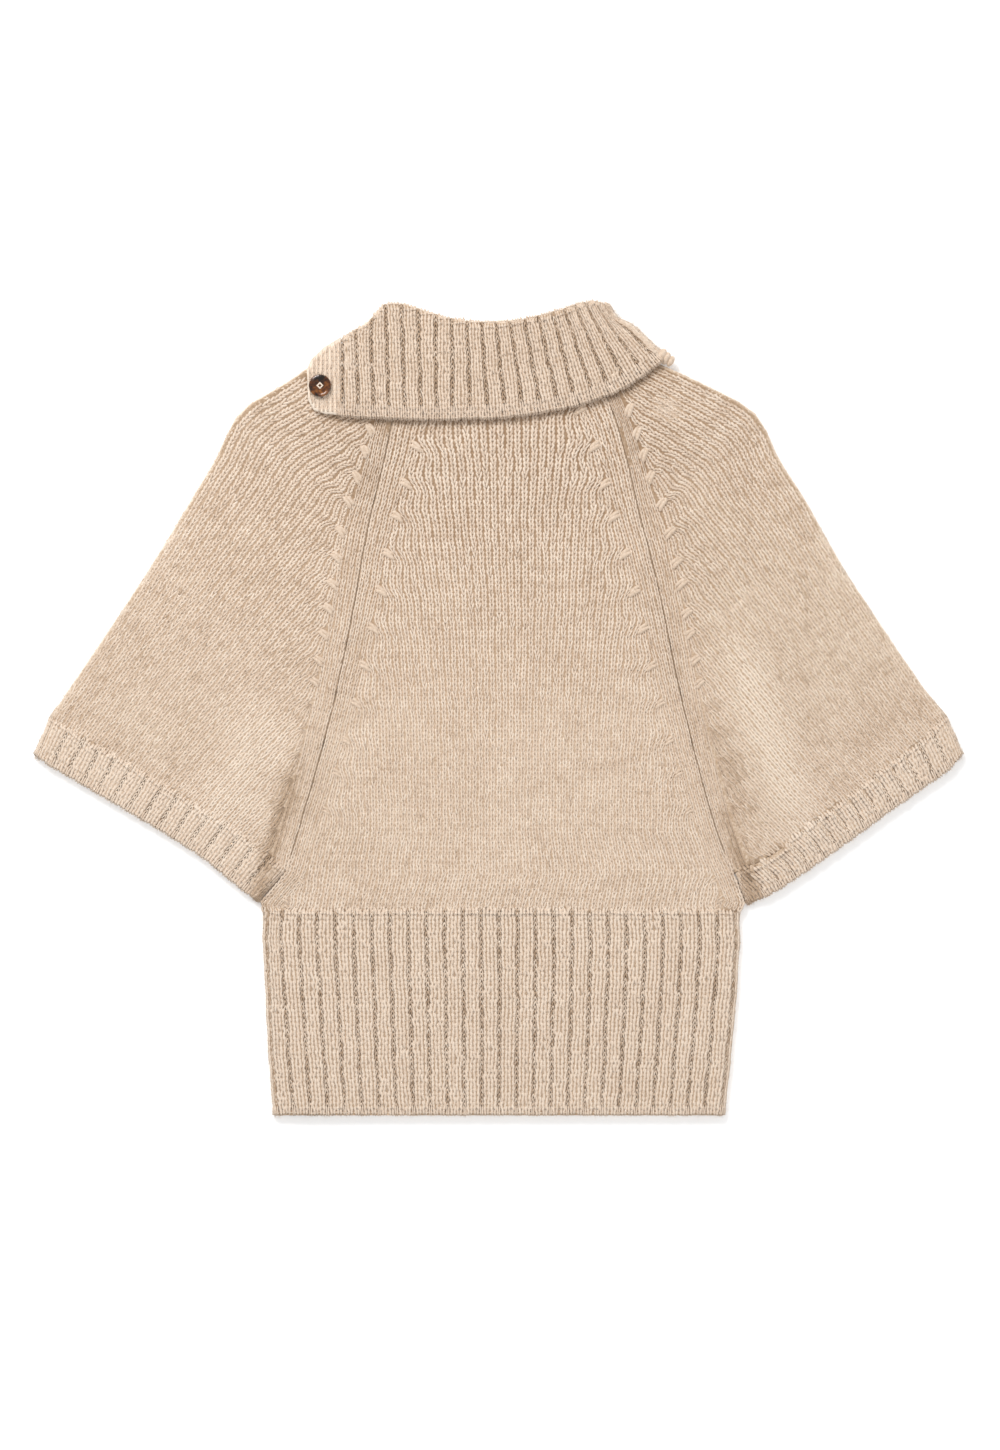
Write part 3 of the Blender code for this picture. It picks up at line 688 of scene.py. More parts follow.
class Cells:
    """Corners, normals and height of the cells to be filled with one template."""

    def __init__(self):
        self.corners, self.normals, self.heights = [], [], []

    def add(self, points, normals, alive, height=LOOP_HEIGHT):
        """points and normals are rows by columns; alive says which cells get a loop."""
        rows, columns = np.nonzero(alive)
        quad = [points[rows + a, columns + b] for a, b in CORNERS]
        mean = sum(normals[rows + a, columns + b] for a, b in CORNERS)
        mean /= np.linalg.norm(mean, axis=1, keepdims=True)
        self.corners.append(np.stack(quad, 1))
        self.normals.append(mean)
        self.heights.append(np.broadcast_to(height, alive.shape)[rows, columns])

    def mesh(self, name, pattern, tone, uneven=1.0, wool=loop_wool):
        """A copy of the pattern in every cell. uneven is how much the loops differ in tone."""
        corners, normals = swayed(np.concatenate(self.corners)), np.concatenate(self.normals)
        heights = np.concatenate(self.heights)
        shape, faces = pattern
        count, size = len(corners), len(shape)
        wobble = chance.normal(0, WOBBLE, (count, 1, 2))
        swell = 1 + chance.normal(0, SWELL, (count, 1))
        u = shape[None, :, 0] + wobble[..., 0]
        v = shape[None, :, 1] + wobble[..., 1]
        weights = np.stack([(1 - u) * (1 - v), u * (1 - v), (1 - u) * v, u * v], -1)
        points = np.einsum("nkc,ncd->nkd", weights, corners)
        points += normals[:, None] * (shape[None, :, 2] * heights[:, None] * swell)[..., None]
        drift = chance.normal(0, STREAK * uneven, count + STREAK_LOOPS - 1)
        streak = np.convolve(drift, np.ones(STREAK_LOOPS) / STREAK_LOOPS**0.5, "valid")
        # Painted light on the creases' ridges and painted shade in their troughs, and painted shadow under the
        # collar's edge.
        tones = tone + streak + painted_crease_shade(corners.mean(1))
        if name in UNDER_COLLAR:
            tones -= EDGE_SHADE * sunk_at_edge(corners.mean(1)) / EDGE_DIP
        tones = np.repeat(tones[:, None] + chance.normal(0, LEG_TONE * uneven, (count, 2)), size // 2)
        loop_spots[name] = corners.mean(1), normals, heights
        print(name, count, "loops,", count * len(faces), "triangles")
        return woollen(copies(name, points, faces), tones, wool)


# %% [markdown]
# ## Rows over a fold
# A sleeve is a tube pressed flat, so its courses run over the fold and on below. A row is laid out by the
# distance along the cloth. Near a fold that distance turns round a half circle; elsewhere it is straight.

# %% Points of one row
COURSE = 3.5 * MM
UNDER_FOLD = 2.2  # radians that the loops go on round below a fold


def distances(line):
    """How far each point of a line is from its first, along it."""
    return np.concatenate([[0], np.cumsum(np.hypot(*np.diff(line, axis=0).T))])


def spot_at(line, marks, where):
    return np.stack([np.interp(where, marks, line[:, k]) for k in (0, 1)], -1)


def by_courses(line):
    """The same line with a point for each course, and the distances of the old and the new points."""
    marks = distances(line)
    rows = int(marks[-1] / COURSE)
    up = np.arange(rows + 1) * marks[-1] / rows
    return spot_at(line, marks, up), marks, up


def cell_centres(points):
    return (points[:-1, :-1] + points[1:, 1:]) / 2


def row_points(line, places, radius, middle, closing=True):
    """line runs in plan from one fold's outermost point to the other's, or to a seam. places are
    distances on the cloth from the first. Gives points and the ways that the cloth faces there."""
    marks = distances(line)
    quarter = math.pi / 2 * radius
    turn = quarter - radius
    total = marks[-1] + turn * (2 if closing else 1)
    to_end = total - places if closing else np.ones(len(places))
    near = np.minimum(places, to_end)
    angle = np.clip(near / radius, -UNDER_FOLD, math.pi / 2)
    inward = np.where(near < quarter, radius * (1 - np.cos(angle)), near - turn)
    inward = np.where(places <= to_end, inward, marks[-1] - inward)
    plan = spot_at(line, marks, inward)
    ways = [line[0] - line[3], line[-1] - line[-4]]
    ways = [way / np.hypot(*way) for way in ways]
    out = np.where((places <= to_end)[:, None], ways[0], ways[1])
    normals = np.concatenate([out * np.cos(angle)[:, None], np.sin(angle)[:, None]], -1)
    points = np.concatenate([plan, (middle + radius * np.sin(angle))[:, None]], -1)
    return points, normals


def half_thickness(tree, place):
    """Half the height of the flattened tube at a plan point, and the height of its middle."""
    top = tree.ray_cast(Vector((*place, FAR_OFF)), -UP)[0].z
    low = tree.ray_cast(Vector((*place, -FAR_OFF)), UP)[0].z
    return (top - low) / 2, (top + low) / 2


# %% [markdown]
# ## Wales that end at marks
# A raglan piece narrows to the neck. At each fashioning mark two wales end under the four that follow the
# seam, and the wales round them bend towards the mark.

# %% Wales of a narrowing piece
BAND_WALES = 4
BAND_SHARE = 0.8  # width of a wale beside the seam, in ordinary wales
BEND_WALES = 6  # wales next to the band that bend with it
THINNEST = 0.12  # of the pitch; a wale ends where it gets narrower
BAND_BLUR = 7  # the courses over which the band's own direction is smoothed
CUFF_CORNER = -118 * MM  # the front widens below this, past the sleeves' cuffs
CORNER_FADE = 12 * MM
FRONT_TONE = 0.62
CORNER_OVERLAP, SEAM_OVERLAP = 1.3 * MM, -0.1 * MM  # how far loops reach over a seam, low and higher


def wale_places(width, count, columns):
    """Places of the wales' borders from the straight side to the band, for each course. width is the
    distance to the seam, and count how many wales fit there, which falls by two at each mark."""
    stepped = 2 * np.round(count / 2)
    pitch = width / (count + BAND_WALES * BAND_SHARE)
    i = np.arange(columns + 1)[None, :]
    near = eased((i - (stepped[:, None] - BEND_WALES)) / BEND_WALES)
    places = i + (count - stepped)[:, None] * near
    places = np.minimum(places, count[:, None])
    for _ in range(3):
        middle = places.copy()
        middle[1:-1] = (places[:-2] + 2 * places[1:-1] + places[2:]) / 4
        places = middle
    places = np.minimum(places, count[:, None]) * pitch[:, None]
    gaps = np.diff(places, axis=1)
    gaps = np.minimum(gaps[:-1], gaps[1:]) / pitch[:-1, None]
    return places, pitch, gaps > THINNEST, np.nonzero(np.diff(stepped))[0]


def band_grid(seam, widths, towards, tree):
    """The grid of the wales beside a seam, given as plan points up it. widths are square to it."""
    on_seam, marks, up = by_courses(seam)
    widths = np.interp(up, marks, widths)
    padded = np.pad(np.gradient(on_seam, axis=0), ((BAND_BLUR // 2, BAND_BLUR // 2), (0, 0)), mode="edge")
    kernel = np.ones(BAND_BLUR) / BAND_BLUR
    ways = np.stack([np.convolve(way, kernel, mode="valid") for way in padded.T], -1)
    ways /= np.hypot(*ways.T)[:, None]
    across = np.stack([-ways[:, 1], ways[:, 0]], -1)
    across *= np.sign((across.mean(0) * towards).sum())
    shares = np.linspace(0, 1, BAND_WALES + 1)
    plan = on_seam[:, None] + across[:, None] * (widths[:, None] * shares)[..., None]
    points, normals = upright(plan, tree)
    past_corner = (CUFF_CORNER, CUFF_CORNER + CORNER_FADE)
    overlap = np.interp(on_seam[:, 1], past_corner, (CORNER_OVERLAP, SEAM_OVERLAP))
    points[:, 0, :2] -= across * overlap[:, None]
    return points, normals


def upright(plan, tree):
    """Points and normals on the cloth under a grid of plan points."""
    points = np.concatenate([plan, np.full((*plan.shape[:2], 1), 14 * MM)], -1)
    normals = np.zeros_like(points)
    normals[..., 2] = 1
    return settle(tree, points, normals, 10 * MM)


def facing_up(points, normals, alive):
    """Turns a grid round if its columns run the wrong way for loops that stand outwards."""
    row, column = np.argwhere(alive)[len(np.argwhere(alive)) // 2]
    across = points[row, column + 1] - points[row, column]
    along = points[row + 1, column] - points[row, column]
    if np.cross(across, along) @ normals[row, column] < 0:
        return points[:, ::-1], normals[:, ::-1], alive[:, ::-1]
    return points, normals, alive


# %% [markdown]
# ## The front
# Its middle wales run straight up, and both halves are the same but for their outline.

# %% Loops of the front
waist_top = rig.box("front_panel")[0].y
collar_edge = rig.box("collar")[0].y
FRONT_MARK_TOP = 196.5 * MM
FRONT_MARK_STEP = 27.5 * MM
FRONT_TOP_WALES = 11.0
FRONT_MARKS = 11
HEM_WALE = 4.7 * MM  # the wales that the front gains where it widens
UNDER_NECK = 42 * MM  # how far the front goes on under the collar
COVERED = 12 * MM  # how far loops run on under the collar

front_cells = Cells()
mark_spots = []  # where two wales end: the spot, the way up the wales, the way to the seam, the node
RELIEF = [(0.08, 1.1), (0.2, 0.9), (0.37, 0.72)]  # how tall the loops are, by the metres from the neck


def fill(cells, points, normals, alive, share=1.0):
    """Loops are drawn up tall near the neck, and lie flatter and felted further down."""
    points, normals, alive = facing_up(points, normals, alive)
    relief = np.interp(from_neck(cell_centres(points)), *zip(*RELIEF))
    cells.add(points, normals, alive, share * LOOP_HEIGHT * relief)


def is_covered(place):
    """Whether the collar or its band lies over a place."""
    return any(trees[node].ray_cast(place, UP)[0] for node in ("collar", "button_band"))


def uncovered(points, alive):
    """Takes out the cells that lie well under the collar."""
    centres = cell_centres(points)
    for row, column in np.argwhere(alive):
        spot = Vector(centres[row, column])
        if is_covered(spot + Vector((0, -COVERED, 0))) and is_covered(spot):
            alive[row, column] = False
    return alive


def fill_front():
    edges = plan_edges("front_panel")
    rows = int((collar_edge + UNDER_NECK - waist_top) / COURSE)
    ys = waist_top + 0.3 * MM + np.arange(rows + 1) * COURSE
    ys = np.minimum(ys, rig.box("front_panel")[1].y - 1 * MM)
    sides = np.array([reach(edges, (0.0, y), (1.0, 0.0)) for y in ys])
    middle, half = sides.mean(axis=1), np.diff(sides, axis=1)[:, 0] / 2
    marks_done = np.clip((FRONT_MARK_TOP - ys) / FRONT_MARK_STEP, -1.5, FRONT_MARKS - 0.5)
    count = FRONT_TOP_WALES + 2 * marks_done
    low = ys < CUFF_CORNER
    count[low] += (half[low] - half[~low][0]) / HEM_WALE
    places, pitch, alive, mark_rows = wale_places(half, count, int(count.max()) + 2)
    band = BAND_WALES * BAND_SHARE * pitch
    slope = np.gradient(half, ys)
    for side in (-1, 1):
        xs = middle[:, None] + side * places
        plan = np.stack([xs, np.broadcast_to(ys[:, None], xs.shape)], -1)
        points, normals = upright(plan, trees["front_panel"])
        fill(front_cells, points, normals, uncovered(points, alive.copy()))
        seam = np.stack([middle + side * half, ys], -1)
        square = band / np.sqrt(1 + slope**2)
        points, normals = band_grid(seam, square, np.array((-side, 0.0)), trees["front_panel"])
        alive_band = uncovered(points, np.ones((len(points) - 1, BAND_WALES), bool))
        fill(front_cells, points, normals, alive_band)
        for row in mark_rows:
            spot = seam[row] - np.array((side * band[row], 0.0))
            mark_spots.append((spot, np.array((0.0, 1.0)), np.array((float(side), 0.0)), "front_panel"))


fill_front()
front_knit = front_cells.mesh("front_knit", KNIT_LOOP, FRONT_TONE)

# %% [markdown]
# ## The sleeves
# Their wales run alongside the folded upper edge, from the cuff over the shoulder to the neck, so the
# grid starts from that edge and grows across to the seam.

# %% Loops of the sleeves
SLEEVE_MARK_TOP = 211 * MM
SLEEVE_MARK_STEP = 18.4 * MM
SLEEVE_TOP_WALES = 9.0
SLEEVE_RELIEF = 0.92  # the sleeves' loops are flatter than the body's
SLEEVE_TONE = 0.53
CUFF_REACH = 150 * MM  # how far up the courses still follow the cuff's curve
SHOULDER_BLUR = 62 * MM  # over how much of the fold the courses turn
SQUARE_TO_CUFF = (12 * MM, 120 * MM)  # square to the cuff up to the first, then turning over the second
SEAM_WAY = (0.975, 0.22)  # the mean way across the sleeves' seams
ROW_SAMPLES = 40
LEAST_WALES = 4.0
SLEEVE_UNDER_NECK = 40 * MM  # how far past the collar's edge the wales beside the seam go on


def blurred(row, width):
    steps = np.arange(-int(3 * width), int(3 * width) + 1)
    kernel = np.exp(-((steps / width) ** 2))
    padded = np.pad(row, len(steps) // 2, mode="edge")
    return np.convolve(padded, kernel / kernel.sum(), mode="valid")


def fold_line(node, side):
    """Plan points along a sleeve's folded edge, from the cuff to the neck, and the ways across."""
    mesh = nodes[node].data
    spots = np.array([v.co[:2] for v in mesh.vertices])
    cuff_corner, neck = spots[np.argmax(side * spots[:, 0])], spots[np.argmax(spots[:, 1])]
    guide = (neck - cuff_corner) / np.hypot(*(neck - cuff_corner))
    out = np.array((-guide[1], guide[0])) * -side
    edges = plan_edges(node)
    shares = np.linspace(0.002, 0.995, 260)
    line = [cuff_corner + (neck - cuff_corner) * f for f in shares]
    line = np.array([spot + out * reach(edges, spot, out)[1] for spot in line])
    line, _, up = by_courses(line)
    angle = np.unwrap(np.arctan2(*np.gradient(line, axis=0).T[::-1]))
    angle = blurred(angle, SHOULDER_BLUR / COURSE)
    inner = spots[np.argmin(spots[:, 1])] + guide * 3 * MM
    at_cuff = math.atan2(*(line[0] - inner) * (1, -1) * side)  # square to the cuff
    at_cuff += 2 * math.pi * round((angle[0] - at_cuff) / (2 * math.pi))
    start, length = SQUARE_TO_CUFF
    angle = at_cuff + (angle - at_cuff) * np.clip((up - start) / length, 0, 1)
    ways = np.stack([np.cos(angle), np.sin(angle)], -1)
    return line, np.stack([ways[:, 1], -ways[:, 0]], -1) * -side, ways


def fill_sleeve(node, side):
    tree, edges = trees[node], plan_edges(node)
    line, across, up = fold_line(node, side)
    widths = np.array([reach(edges, spot, way)[1] for spot, way in zip(line, across)])
    ends = line + across * widths[:, None]
    count = SLEEVE_TOP_WALES + 2 * (SLEEVE_MARK_TOP - ends[:, 1]) / SLEEVE_MARK_STEP
    count = np.maximum(count, LEAST_WALES)
    grid = []
    samples = np.linspace(0, 1, ROW_SAMPLES)
    cuff_spots = [line[0] + across[0] * widths[0] * f for f in np.clip(samples, 0.01, 0.985)]
    lows = [reach(edges, spot, up[0])[0] for spot in cuff_spots]
    for r in range(len(line)):
        fade = max(0.0, 1 - r * COURSE / CUFF_REACH) ** 2
        plan = line[r] + np.outer(samples * widths[r], across[r]) + np.outer(lows, up[0]) * fade
        grid.append(plan)
    hub = [line[r] + across[r] * 5 * MM for r in np.clip(np.arange(len(line)), 3, len(line) - 6)]
    sizes = [half_thickness(tree, h) for h in hub]
    turn = (math.pi / 2 - 1) * sizes[0][0]
    places, pitch, alive, mark_rows = wale_places(widths + turn, count, int(count.max()) + 2)
    places = np.concatenate([-pitch[:, None], places], 1)
    alive = np.concatenate([np.ones((len(line) - 1, 1), bool), alive], 1)
    points, normals = [], []
    for r, plan in enumerate(grid):
        p, n = row_points(plan, places[r], *sizes[r], closing=False)
        points.append(p)
        normals.append(n)
    points, normals = settle(tree, np.array(points), np.array(normals), NEAR_OFF)
    cells = Cells()
    fill(cells, points, normals, uncovered(points, alive), SLEEVE_RELIEF)
    band = BAND_WALES * BAND_SHARE * pitch
    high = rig.box(node)[1].y
    heights = np.arange(np.min(ends[:, 1]), min(high, collar_edge + SLEEVE_UNDER_NECK), COURSE)
    seam = np.array([reach(edges, (0.0, y), (-side, 0.0))[1] * -side for y in heights])
    seam = np.stack([seam, heights], -1)
    square = -band * (across @ (np.array(SEAM_WAY) * (side, 1)))
    order = np.argsort(ends[:, 1])
    square = np.interp(heights, ends[order, 1], square[order])
    points, normals = band_grid(seam, square, np.array((float(side), 0.0)), tree)
    alive = uncovered(points, np.ones((len(points) - 1, BAND_WALES), bool))
    fill(cells, points, normals, alive, SLEEVE_RELIEF)
    for row in mark_rows:
        inner = widths[row] - band[row]
        spot = spot_at(grid[row], samples * widths[row], inner)
        mark_spots.append((spot, up[row], across[row], node))
    return cells.mesh(node + "_knit", KNIT_LOOP, SLEEVE_TONE)


sleeve_knits = {node: fill_sleeve(node, side) for node, side in (("sleeve_left", -1), ("sleeve_right", 1))}

# %% [markdown]
# ## Ribs
# Two knit wales and one purl wale make each rib. The purl wale lies in the groove and shows its bars. At
# the edge of the work a few courses are plain knit, and the last one turns over the rim.

# %% Columns of a rib
GROOVE = 0.145  # half a groove, in ribs, where the collar is spread
TIGHT_GROOVE = 0.12  # and where the rib draws itself together
RIM_RADIUS = 1.4 * MM
BAR_HEIGHT = 0.9 * MM
LIP_REACH, LIP_DIP = 0.9 * COURSE, 1.3 * MM
PLAIN_COURSES = 3  # at the edge of the work, with the two round the rim
RIB_SWELL = 0.55 * MM
RIB_LOOP_HEIGHT = 1.0 * MM
# The collar's wool is darker than the other ribs as painted shade for the dimmer light at the top, and the grooves'
# bars are painted shade, paler on the waistband and cuffs.
RIB_TONE, COLLAR_TONE, GROOVE_TONE = 0.62, 0.48, 0.58
WAIST_PALER, CUFF_PALER = 0.16, 0.4  # their grooves than the collar's
RIB_UNEVEN = 0.5  # how far the tones of the ribs' loops differ


def rib_columns(first, last, folded=None, half=GROOVE):
    """The borders of the wales, counted in ribs, and which wales are purl. The grooves at the two folds,
    0 and folded, are closed up."""
    borders, purl = [], []
    for k in range(first, last):
        borders += [k - half, k + half, k + 0.5]
        purl += [folded is None or k not in (0, folded), False, False]
    borders.append(last - half)
    return np.array(borders), np.array(purl)


def knit_ribs(node, points, normals, purl, plain, tones, alive=None):
    """The knit loops and the bars of a ribbed grid, in their two tones. The first courses, as many as
    plain says, are knit all over. The ribs are full, so their edges stand up beside the grooves."""
    beside = np.zeros(len(purl) + 1)
    beside[:-1] += purl
    beside[1:] += purl
    full = points + normals * (beside * RIB_SWELL)[None, :, None]
    rows = len(points) - 1
    alive = np.ones((rows, len(purl)), bool) if alive is None else alive
    is_bar = purl[None, :] & (np.arange(rows) >= plain)[:, None] & alive
    flipped = facing_up(full, normals, alive & ~is_bar)
    knit, bars = Cells(), Cells()
    knit.add(*flipped, RIB_LOOP_HEIGHT)
    if flipped[0] is not full:
        points, normals, is_bar = points[:, ::-1], normals[:, ::-1], is_bar[:, ::-1]
    bars.add(points, normals, is_bar, BAR_HEIGHT)
    # The bars take the painted-shade wool: their dark tone is painted shade in the grooves.
    return [
        knit.mesh(node + "_knit", RIB_LOOP, tones[0], RIB_UNEVEN),
        bars.mesh(node + "_purl", PURL_LOOP, tones[1], wool=painted_shade_base_wool),
    ]


def with_rim(points, normals):
    """Adds two rows before the first, which turn over the rim of the cloth and end under it."""
    out = points[0] - points[1]
    out /= np.linalg.norm(out, axis=1, keepdims=True)
    edge = points[0] + (out - normals[0]) * RIM_RADIUS
    under = edge - (0.5 * out + normals[0]) * RIM_RADIUS
    lean = (normals[0] + out) / 2**0.5
    turned = np.concatenate([(out - lean)[None], out[None], lean[None], normals[1:]])
    return np.concatenate([under[None], edge[None], points]), turned


def with_lip(points, normals):
    """Adds a row after the last, which dips to the next piece of cloth."""
    on = points[-1] - points[-2]
    on /= np.linalg.norm(on, axis=1, keepdims=True)
    lip = points[-1] + on * LIP_REACH - normals[-1] * LIP_DIP
    return np.concatenate([points, lip[None]]), np.concatenate([normals, normals[-1:]])


# %% [markdown]
# ## The waistband
# A straight tube, 26 ribs across its front.

# %% Loops of the waistband
def fill_waistband():
    tree, edges = trees["waistband"], plan_edges("waistband")
    low, high = (corner.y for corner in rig.box("waistband"))
    rows = int((high - low) / COURSE)
    first = low + RIM_RADIUS + 1.0 * MM
    ys = first + np.arange(rows + 1) * (high - first - 0.4 * MM) / rows
    borders, purl = rib_columns(-1, WAIST_RIBS + 2, half=TIGHT_GROOVE)
    points, normals = [], []
    for y in ys:
        left, right = reach(edges, (0.0, y), (1.0, 0.0))
        line = np.stack([np.linspace(left, right, 30), np.full(30, y)], -1)
        radius, middle = half_thickness(tree, (left + 5 * MM, np.clip(y, ys[2], ys[-3])))
        pitch = (right - left - 2 * radius) / WAIST_RIBS
        p, n = row_points(line, math.pi / 2 * radius + borders * pitch, radius, middle)
        points.append(p)
        normals.append(n)
    points = np.array(points)
    points = np.where(points[..., 2:] > LAYER_TOP, leaned(points), points)
    points, normals = settle(tree, points, np.array(normals), NEAR_OFF)
    points, normals = with_lip(*with_rim(points, normals))
    tones = (RIB_TONE, GROOVE_TONE + WAIST_PALER)
    return knit_ribs("waistband", points, normals, purl, PLAIN_COURSES, tones)


waist_loops = fill_waistband()


# %% [markdown]
# ## The cuffs
# Short tubes, set across the sleeves, whose edges curve a little.

# %% Loops of the cuffs
CUFF_RIBS = 15


def fill_cuff(node, side):
    tree, edges = trees[node], plan_edges(node)
    spots = np.array([v.co[:2] for v in nodes[node].data.vertices])
    inner, outer = spots[np.argmin(spots[:, 1])], spots[np.argmax(side * spots[:, 0])]
    chord = outer - inner
    up = np.array((-chord[1], chord[0])) * side
    up /= np.hypot(*up)
    shares = np.linspace(0.012, 0.97, 24)
    ends = np.array([reach(edges, inner + chord * f, up) for f in shares])
    depth = np.median(ends[:, 1] - ends[:, 0])
    rows = int(depth / COURSE)
    borders, purl = rib_columns(-1, CUFF_RIBS + 2, CUFF_RIBS, TIGHT_GROOVE)
    points, normals = [], []
    hub = inner + chord * 0.05 + up * (ends[1, 0] + depth / 2)
    radius, middle = half_thickness(tree, hub)
    for r in range(rows + 1):
        share = (RIM_RADIUS + (depth - RIM_RADIUS - 0.3 * MM) * r / rows) / depth
        offsets = ends[:, 0] + (ends[:, 1] - ends[:, 0]) * share
        line = inner + np.outer(shares, chord) + np.outer(offsets, up)
        tips = []
        for end, before in ((line[0], line[1]), (line[-1], line[-2])):
            way = (end - before) / np.hypot(*(end - before))
            tips.append(end + way * reach(edges, end, way)[1])
        line = np.concatenate([tips[:1], line, tips[1:]])
        length = np.hypot(*np.diff(line, axis=0).T).sum()
        pitch = (length - 2 * radius) / CUFF_RIBS
        p, n = row_points(line, math.pi / 2 * radius + borders * pitch, radius, middle)
        points.append(p)
        normals.append(n)
    points, normals = settle(tree, np.array(points), np.array(normals), NEAR_OFF)
    points, normals = with_lip(*with_rim(points, normals))
    return knit_ribs(node, points, normals, purl, PLAIN_COURSES, (RIB_TONE, GROOVE_TONE + CUFF_PALER))


cuff_loops = {"cuff_left": fill_cuff("cuff_left", -1), "cuff_right": fill_cuff("cuff_right", 1)}

# %% [markdown]
# ## The collar
# The band is knit from the neck up, folded over and turned down, so what shows runs from the fold to the
# edge. Its ribs fan out towards the right shoulder, where they turn over to the back.

# %% Loops of the collar
COLLAR_RIBS = 19
TURN_RADIUS = 3.15 * MM  # of the fold, half the turned-down part's height over the stand
TURN_MIDDLE = 3.9 * MM  # that fold's centre over the middle of the four layers
NECK_MIDDLE = 7.05 * MM
TURN_OUTWARD = np.array((0.76, 0.65))
TURN_END = 2.0  # radians that the loops go on round over the fold


def smooth_curve(ribs, spots, at):
    """The smooth curve through spots at rib numbers, read at other rib numbers."""
    slopes = np.gradient(spots, ribs, axis=0)
    i = np.clip(np.searchsorted(ribs, at, side="right") - 1, 0, len(ribs) - 2)
    span = (ribs[i + 1] - ribs[i])[:, None]
    t = (at[:, None] - ribs[i][:, None]) / span
    return (
        spots[i] * (2 * t**3 - 3 * t**2 + 1)
        + slopes[i] * span * (t**3 - 2 * t**2 + t)
        + spots[i + 1] * (3 * t**2 - 2 * t**3)
        + slopes[i + 1] * span * (t**3 - t**2)
    )


def fill_collar():
    borders, purl = rib_columns(0, COLLAR_RIBS + 2)
    ribs = np.array([row.rib for row in COLLAR], float)
    at = np.clip(borders, -GROOVE, COLLAR_RIBS)
    folds = smooth_curve(ribs, np.array([(r.fold_x, r.fold_y) for r in COLLAR]) * MM, at)
    edges = smooth_curve(ribs, np.array([(r.edge_x, r.edge_y) for r in COLLAR]) * MM, at)
    turning = np.clip(borders - COLLAR_RIBS, 0, 1.3) * math.pi / 2
    ways = (folds - edges) / np.hypot(*(folds - edges).T)[:, None]
    hubs, edges = folds - ways * TURN_RADIUS, edges + ways * RIM_RADIUS
    lengths = np.hypot(*(hubs - edges).T)
    rows = int(lengths.max() / COURSE) + 3
    points, normals, alive = [], [], []
    for r in range(rows + 1):
        up = r * COURSE
        straight = np.minimum(up, lengths)
        angle = np.maximum(up - lengths, 0) / TURN_RADIUS
        plan = edges + ways * (straight + TURN_RADIUS * np.sin(angle))[:, None]
        height = TURN_MIDDLE + TURN_RADIUS * np.cos(angle)
        reach_out = height * np.sin(turning)
        plan = dented(plan + TURN_OUTWARD * reach_out[:, None])
        z = NECK_MIDDLE + height * np.cos(turning)
        points.append(np.concatenate([plan, z[:, None]], -1))
        lean = np.cos(angle)
        flat = ways * np.sin(angle)[:, None] + TURN_OUTWARD * (lean * np.sin(turning))[:, None]
        normals.append(np.concatenate([flat, (lean * np.cos(turning))[:, None]], -1))
        alive.append(angle < TURN_END)
    alive = np.array(alive)
    alive = alive[1:, 1:] & alive[1:, :-1]
    points, normals = settle(trees["collar"], np.array(points), np.array(normals), 4 * MM, stay=True)
    points, normals = with_rim(points, normals)
    alive = np.concatenate([alive[:1], alive[:1], alive])
    return knit_ribs("collar", points, normals, purl, PLAIN_COURSES + 1, (COLLAR_TONE, GROOVE_TONE), alive)


collar_loops = fill_collar()

# %% [markdown]
# ## The button band
# The collar ends in a narrow band of small tight loops, which lies flat under the button.

# %% Loops of the button band
SMALL_WALE, SMALL_COURSE = 3.3 * MM, 3.2 * MM
BAND_COLUMNS = 8
BAND_EDGE = 0.9 * MM  # bare cloth at its sides
BAND_HEIGHT, BAND_TONE = 1.1 * MM, 0.6


def fill_button_band():
    edges = plan_edges("button_band")
    (_, low, _), (right, high, _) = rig.box("button_band")
    ys = np.linspace(low + 0.4 * MM, high - 0.6 * MM, int((high - low) / SMALL_COURSE) + 1)
    xs = np.empty((len(ys), BAND_COLUMNS + 1))
    for row, y in enumerate(ys):
        left, inner = reach(edges, (right, y), (1.0, 0.0)) + np.array(right)
        steps = np.arange(BAND_COLUMNS + 1) * SMALL_WALE
        xs[row] = np.maximum(inner + BAND_EDGE - steps, left + BAND_EDGE)
    plan = np.stack([xs, np.broadcast_to(ys[:, None], xs.shape)], -1)
    points, normals = upright(plan, trees["button_band"])
    wide = np.abs(np.diff(xs, axis=1))
    alive = np.minimum(wide[:-1], wide[1:]) > 0.4 * SMALL_WALE
    points, normals, alive = facing_up(points, normals, alive)
    knit = Cells()
    knit.add(points, normals, alive, BAND_HEIGHT)
    return [knit.mesh("button_band_knit", KNIT_LOOP, BAND_TONE)]


band_loops = fill_button_band()

# %% [markdown]
# ## The end of the collar's back
# Behind the shoulder the back of the collar shows as a small roll of a few ribs.

# %% A small roll
ROLL_START, ROLL_END = Vector((122, 264, 8.5)) * MM, Vector((129, 260, 7.5)) * MM
ROLL_SIZE = Vector((7, 12, 8)) * MM
ROLL_RIBS, ROLL_TAPER, ROLL_TURN = 3, 0.25, math.radians(-30)
ROLL_TONE = 0.38


def fill_roll():
    form = bmesh.new()
    turn = Matrix.Rotation(ROLL_TURN, 4, "Z")
    for k in range(ROLL_RIBS):
        share = k / (ROLL_RIBS - 1)
        place = Matrix.Translation(ROLL_START.lerp(ROLL_END, share))
        size = Matrix.Diagonal((*ROLL_SIZE * (1 - ROLL_TAPER * share), 1))
        matrix = place @ turn @ size
        bmesh.ops.create_uvsphere(form, u_segments=12, v_segments=8, radius=0.5, matrix=matrix)
    bmesh.ops.recalc_face_normals(form, faces=form.faces)
    return woollen(mesh_of(form, "collar_roll"), ROLL_TONE)


collar_roll = fill_roll()

# %% [markdown]
# ## Fashioning marks
# Where two wales end, their loops are drawn under their neighbours and stand up as a smooth knot. Each
# knot is two grains that overlap.

